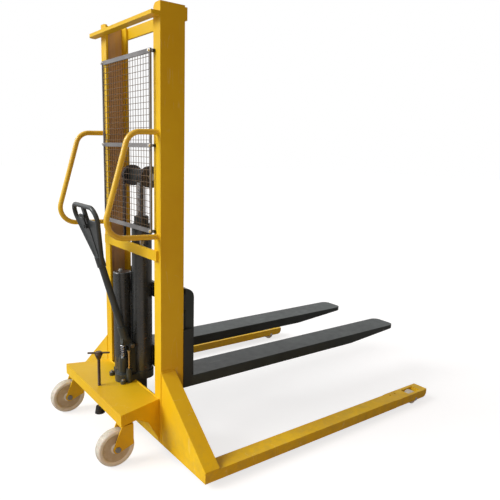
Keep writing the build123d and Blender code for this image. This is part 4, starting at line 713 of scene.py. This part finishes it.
# ---------------------------------------------------------------- floor lock's spindle
def floor_lock():
    low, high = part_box("lock_screw")
    middle = centre((low, high))
    foot = Vector((middle.x, middle.y, 0))
    turn = math.radians(62)
    core, crest, pitch = 6.2 * MM, 8 * MM, 4 * MM
    hub_low, hub_high = 402 * MM, 428 * MM

    def thread(angle, radius, along):
        phase = (along / pitch - angle / (2 * math.pi)) % 1
        tooth = min(1.0, max(0.0, 1.6 - abs(phase - 0.5) * 5.2))
        return core + (crest - core) * tooth, along

    shape = Shape()
    rows = round((hub_low + 0.002 - low.z) / (pitch / 9))
    spindle = [(crest, low.z + (hub_low + 0.002 - low.z) * i / rows) for i in range(rows + 1)]
    shape.lathe(spindle, foot, (0, 0, 1), steps=28, reach=thread)
    hub = [(0.0004, hub_low - 0.001), (9 * MM, hub_low - 0.001), (20 * MM, hub_high - 2 * MM),
           (20 * MM, hub_high), (16 * MM, hub_high + 1 * MM), (16 * MM, high.z - 1.5 * MM), (13 * MM, high.z),
           (0.0004, high.z)]
    shape.lathe(rounded(hub, 1.6 * MM), foot, (0, 0, 1), steps=56)
    reach, thick = 54 * MM, 5 * MM
    bar = [(0.0004, -reach), (thick, -reach), (thick, -24 * MM), (thick, 24 * MM), (thick, reach),
           (0.0004, reach)]
    axis = Vector((math.cos(turn), math.sin(turn), 0))
    shape.lathe(rounded(bar, 2.4 * MM), foot + Vector((0, 0, hub_high + 6 * MM)), axis, steps=28)
    spindle = shape.make("lock_spindle", "lock_screw", "oiled_steel", "screw_steel", 40)
    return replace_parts(spindle, "lock_screw")


floor_lock()


# ---------------------------------------------------------------- sheaves and gland
SHEAVE_RINGS = ((24, 27, 1.1, 0.7, 56), (46, 52.4, 1.1, 0.8, 72))  # each in mm, then its steps


for index, (low, high) in enumerate(solids("chain_sheaves")):
    middle, half = centre((low, high)), (high.x - low.x) / 2
    bush = Shape()
    bush.lathe(ring_profile(12.6 * MM, 17 * MM, half + 0.4 * MM, 0.8 * MM), middle, (1, 0, 0), True, 48)
    for end in (-1, 1):
        face = middle + Vector((end * (half - 0.6 * MM), 0, 0))
        for *ring, steps in SHEAVE_RINGS:
            bush.lathe(ring_profile(*(size * MM for size in ring)), face, (1, 0, 0), True, steps)
    bush.make(f"sheave_bush_{'left' if index == 0 else 'right'}", "sheaves", "oiled_steel")

low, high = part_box("cylinder_gland")
middle = centre((low, high))
seal = Shape().lathe(ring_profile(22.8 * MM, 27.5 * MM, 1.6 * MM, 0.9 * MM),
                     Vector((middle.x, middle.y, high.z + 0.6 * MM)), (0, 0, 1), True, 48)
seal.make("rod_wiper", "chassis", "black_rubber")


# ---------------------------------------------------------------- floor, light and camera
AMBIENT = 0.42
SUN_FROM, SUN_STRENGTH, SUN_SPREAD = Vector((-0.30, -0.80, 0.60)), 2.65, math.radians(34)
GLOW_FROM = Vector((-0.55, -0.65, 0.52)).normalized()
DIM_SIDE, WARM = 0.32, (1.0, 0.44, 0.18)
FLOOR_SHADE, FLOOR_LIFT = 0.38, 0.74
LOW_FILL = {"place": (2.6, -2.2, 0.40), "aim": (0.4, -0.8, 0.1), "size": 0.8, "power": 12,
            "colour": (1.0, 0.66, 0.40)}
FLOOR_REACH = 40
# The camera was solved from the photograph's straight edges.
CAMERA_TURN, CAMERA_PITCH, CAMERA_ROLL = math.radians(51.4), math.radians(-10.5), math.radians(2.0)
CAMERA_PLACE = (2.5758, -1.8547, 1.4531)
SENSOR, FOCAL, SHIFT_X, SHIFT_Y = 36, 39.07, -0.0396, 0.0106


def pale_floor():
    """A pale floor that meets the white room, and keeps the machine's shadow."""
    floor = bpy.data.meshes.new("floor")
    corners = [(-1, -1), (1, -1), (1, 1), (-1, 1)]
    floor.from_pydata([(x * FLOOR_REACH, y * FLOOR_REACH, -0.5 * MM) for x, y in corners], [], [(0, 1, 2, 3)])
    pale = Finish("pale_floor", Roughness=0.9, Specular_IOR_Level=0.1)
    seen = pale.add("ShaderNodeLightPath").outputs["Is Camera Ray"]
    shade = pale.mix(pale.noise(3.0), (FLOOR_SHADE,) * 3, (FLOOR_SHADE + 0.02,) * 3)
    pale.wear(Base_Color=shade, Emission_Color=(1, 1, 1, 1),
              Emission_Strength=pale.math("MULTIPLY", seen, FLOOR_LIFT))
    floor.materials.append(pale.material)
    stage = bpy.data.objects.new("floor", floor)
    bpy.context.scene.collection.objects.link(stage)


def soft_room():
    """White to the eye, fullest from behind the machine's left; its diffuse light is warm on the dim side."""
    world = bpy.data.worlds.new("soft_room")
    bpy.context.scene.world = world
    world.use_nodes = True
    room = Graph(world.node_tree)
    direction = room.add("ShaderNodeTexCoord").outputs["Generated"]
    towards = room.add("ShaderNodeVectorMath", {0: direction, 1: GLOW_FROM}, operation="DOT_PRODUCT")
    glow = room.span(towards.outputs["Value"], -0.55, 0.60)
    path = room.add("ShaderNodeLightPath").outputs
    mirrored = room.math("MAXIMUM", path["Is Glossy Ray"], path["Is Transmission Ray"])
    strength = room.span(mirrored, 0, 1, AMBIENT, 1.0)
    level = room.math("MULTIPLY", strength, room.span(glow, 0, 1, DIM_SIDE, 1.0))
    plain = room.math("MAXIMUM", mirrored, path["Is Camera Ray"])
    tint = room.mix(room.math("MAXIMUM", glow, plain), WARM, (1, 1, 1))
    back = room.nodes["Background"]
    room.feed(back.inputs["Color"], tint)
    room.feed(back.inputs["Strength"], room.math("MAXIMUM", level, path["Is Camera Ray"]))


def lamp(name, kind, place, aim, mirrored=True, **settings):
    """A lamp that aims at a point; mirrored says whether reflections show it."""
    light = bpy.data.lights.new(name, kind)
    for key, value in settings.items():
        setattr(light, key, value)
    holder = bpy.data.objects.new(name, light)
    bpy.context.scene.collection.objects.link(holder)
    holder.location = place
    holder.rotation_euler = (Vector(aim) - Vector(place)).to_track_quat("-Z", "Y").to_euler()
    holder.visible_glossy = mirrored


def studio():
    bpy.context.scene.view_settings.view_transform = "Standard"
    pale_floor()
    soft_room()
    lamp("soft_sun", "SUN", SUN_FROM * 6, (0, 0, 0), energy=SUN_STRENGTH, angle=SUN_SPREAD)
    lamp("low_fill", "AREA", LOW_FILL["place"], LOW_FILL["aim"], mirrored=False, size=LOW_FILL["size"],
         energy=LOW_FILL["power"], color=LOW_FILL["colour"])


def camera():
    turn, pitch, roll = CAMERA_TURN, CAMERA_PITCH, CAMERA_ROLL
    ahead = Vector((-math.sin(turn) * math.cos(pitch), math.cos(turn) * math.cos(pitch), math.sin(pitch)))
    right = Vector((math.cos(turn), math.sin(turn), 0))
    up = right.cross(ahead)
    x = right * math.cos(roll) + up * math.sin(roll)
    y = up * math.cos(roll) - right * math.sin(roll)
    lens = bpy.data.cameras.new("camera")
    lens.sensor_width, lens.lens = SENSOR, FOCAL
    lens.shift_x, lens.shift_y = SHIFT_X, SHIFT_Y
    lens.clip_end = 60
    eye = bpy.data.objects.new("camera", lens)
    bpy.context.scene.collection.objects.link(eye)
    place = Matrix((x, y, -ahead)).transposed().to_4x4()
    place.translation = Vector(CAMERA_PLACE)
    eye.matrix_world = place
    bpy.context.scene.camera = eye


studio()
camera()
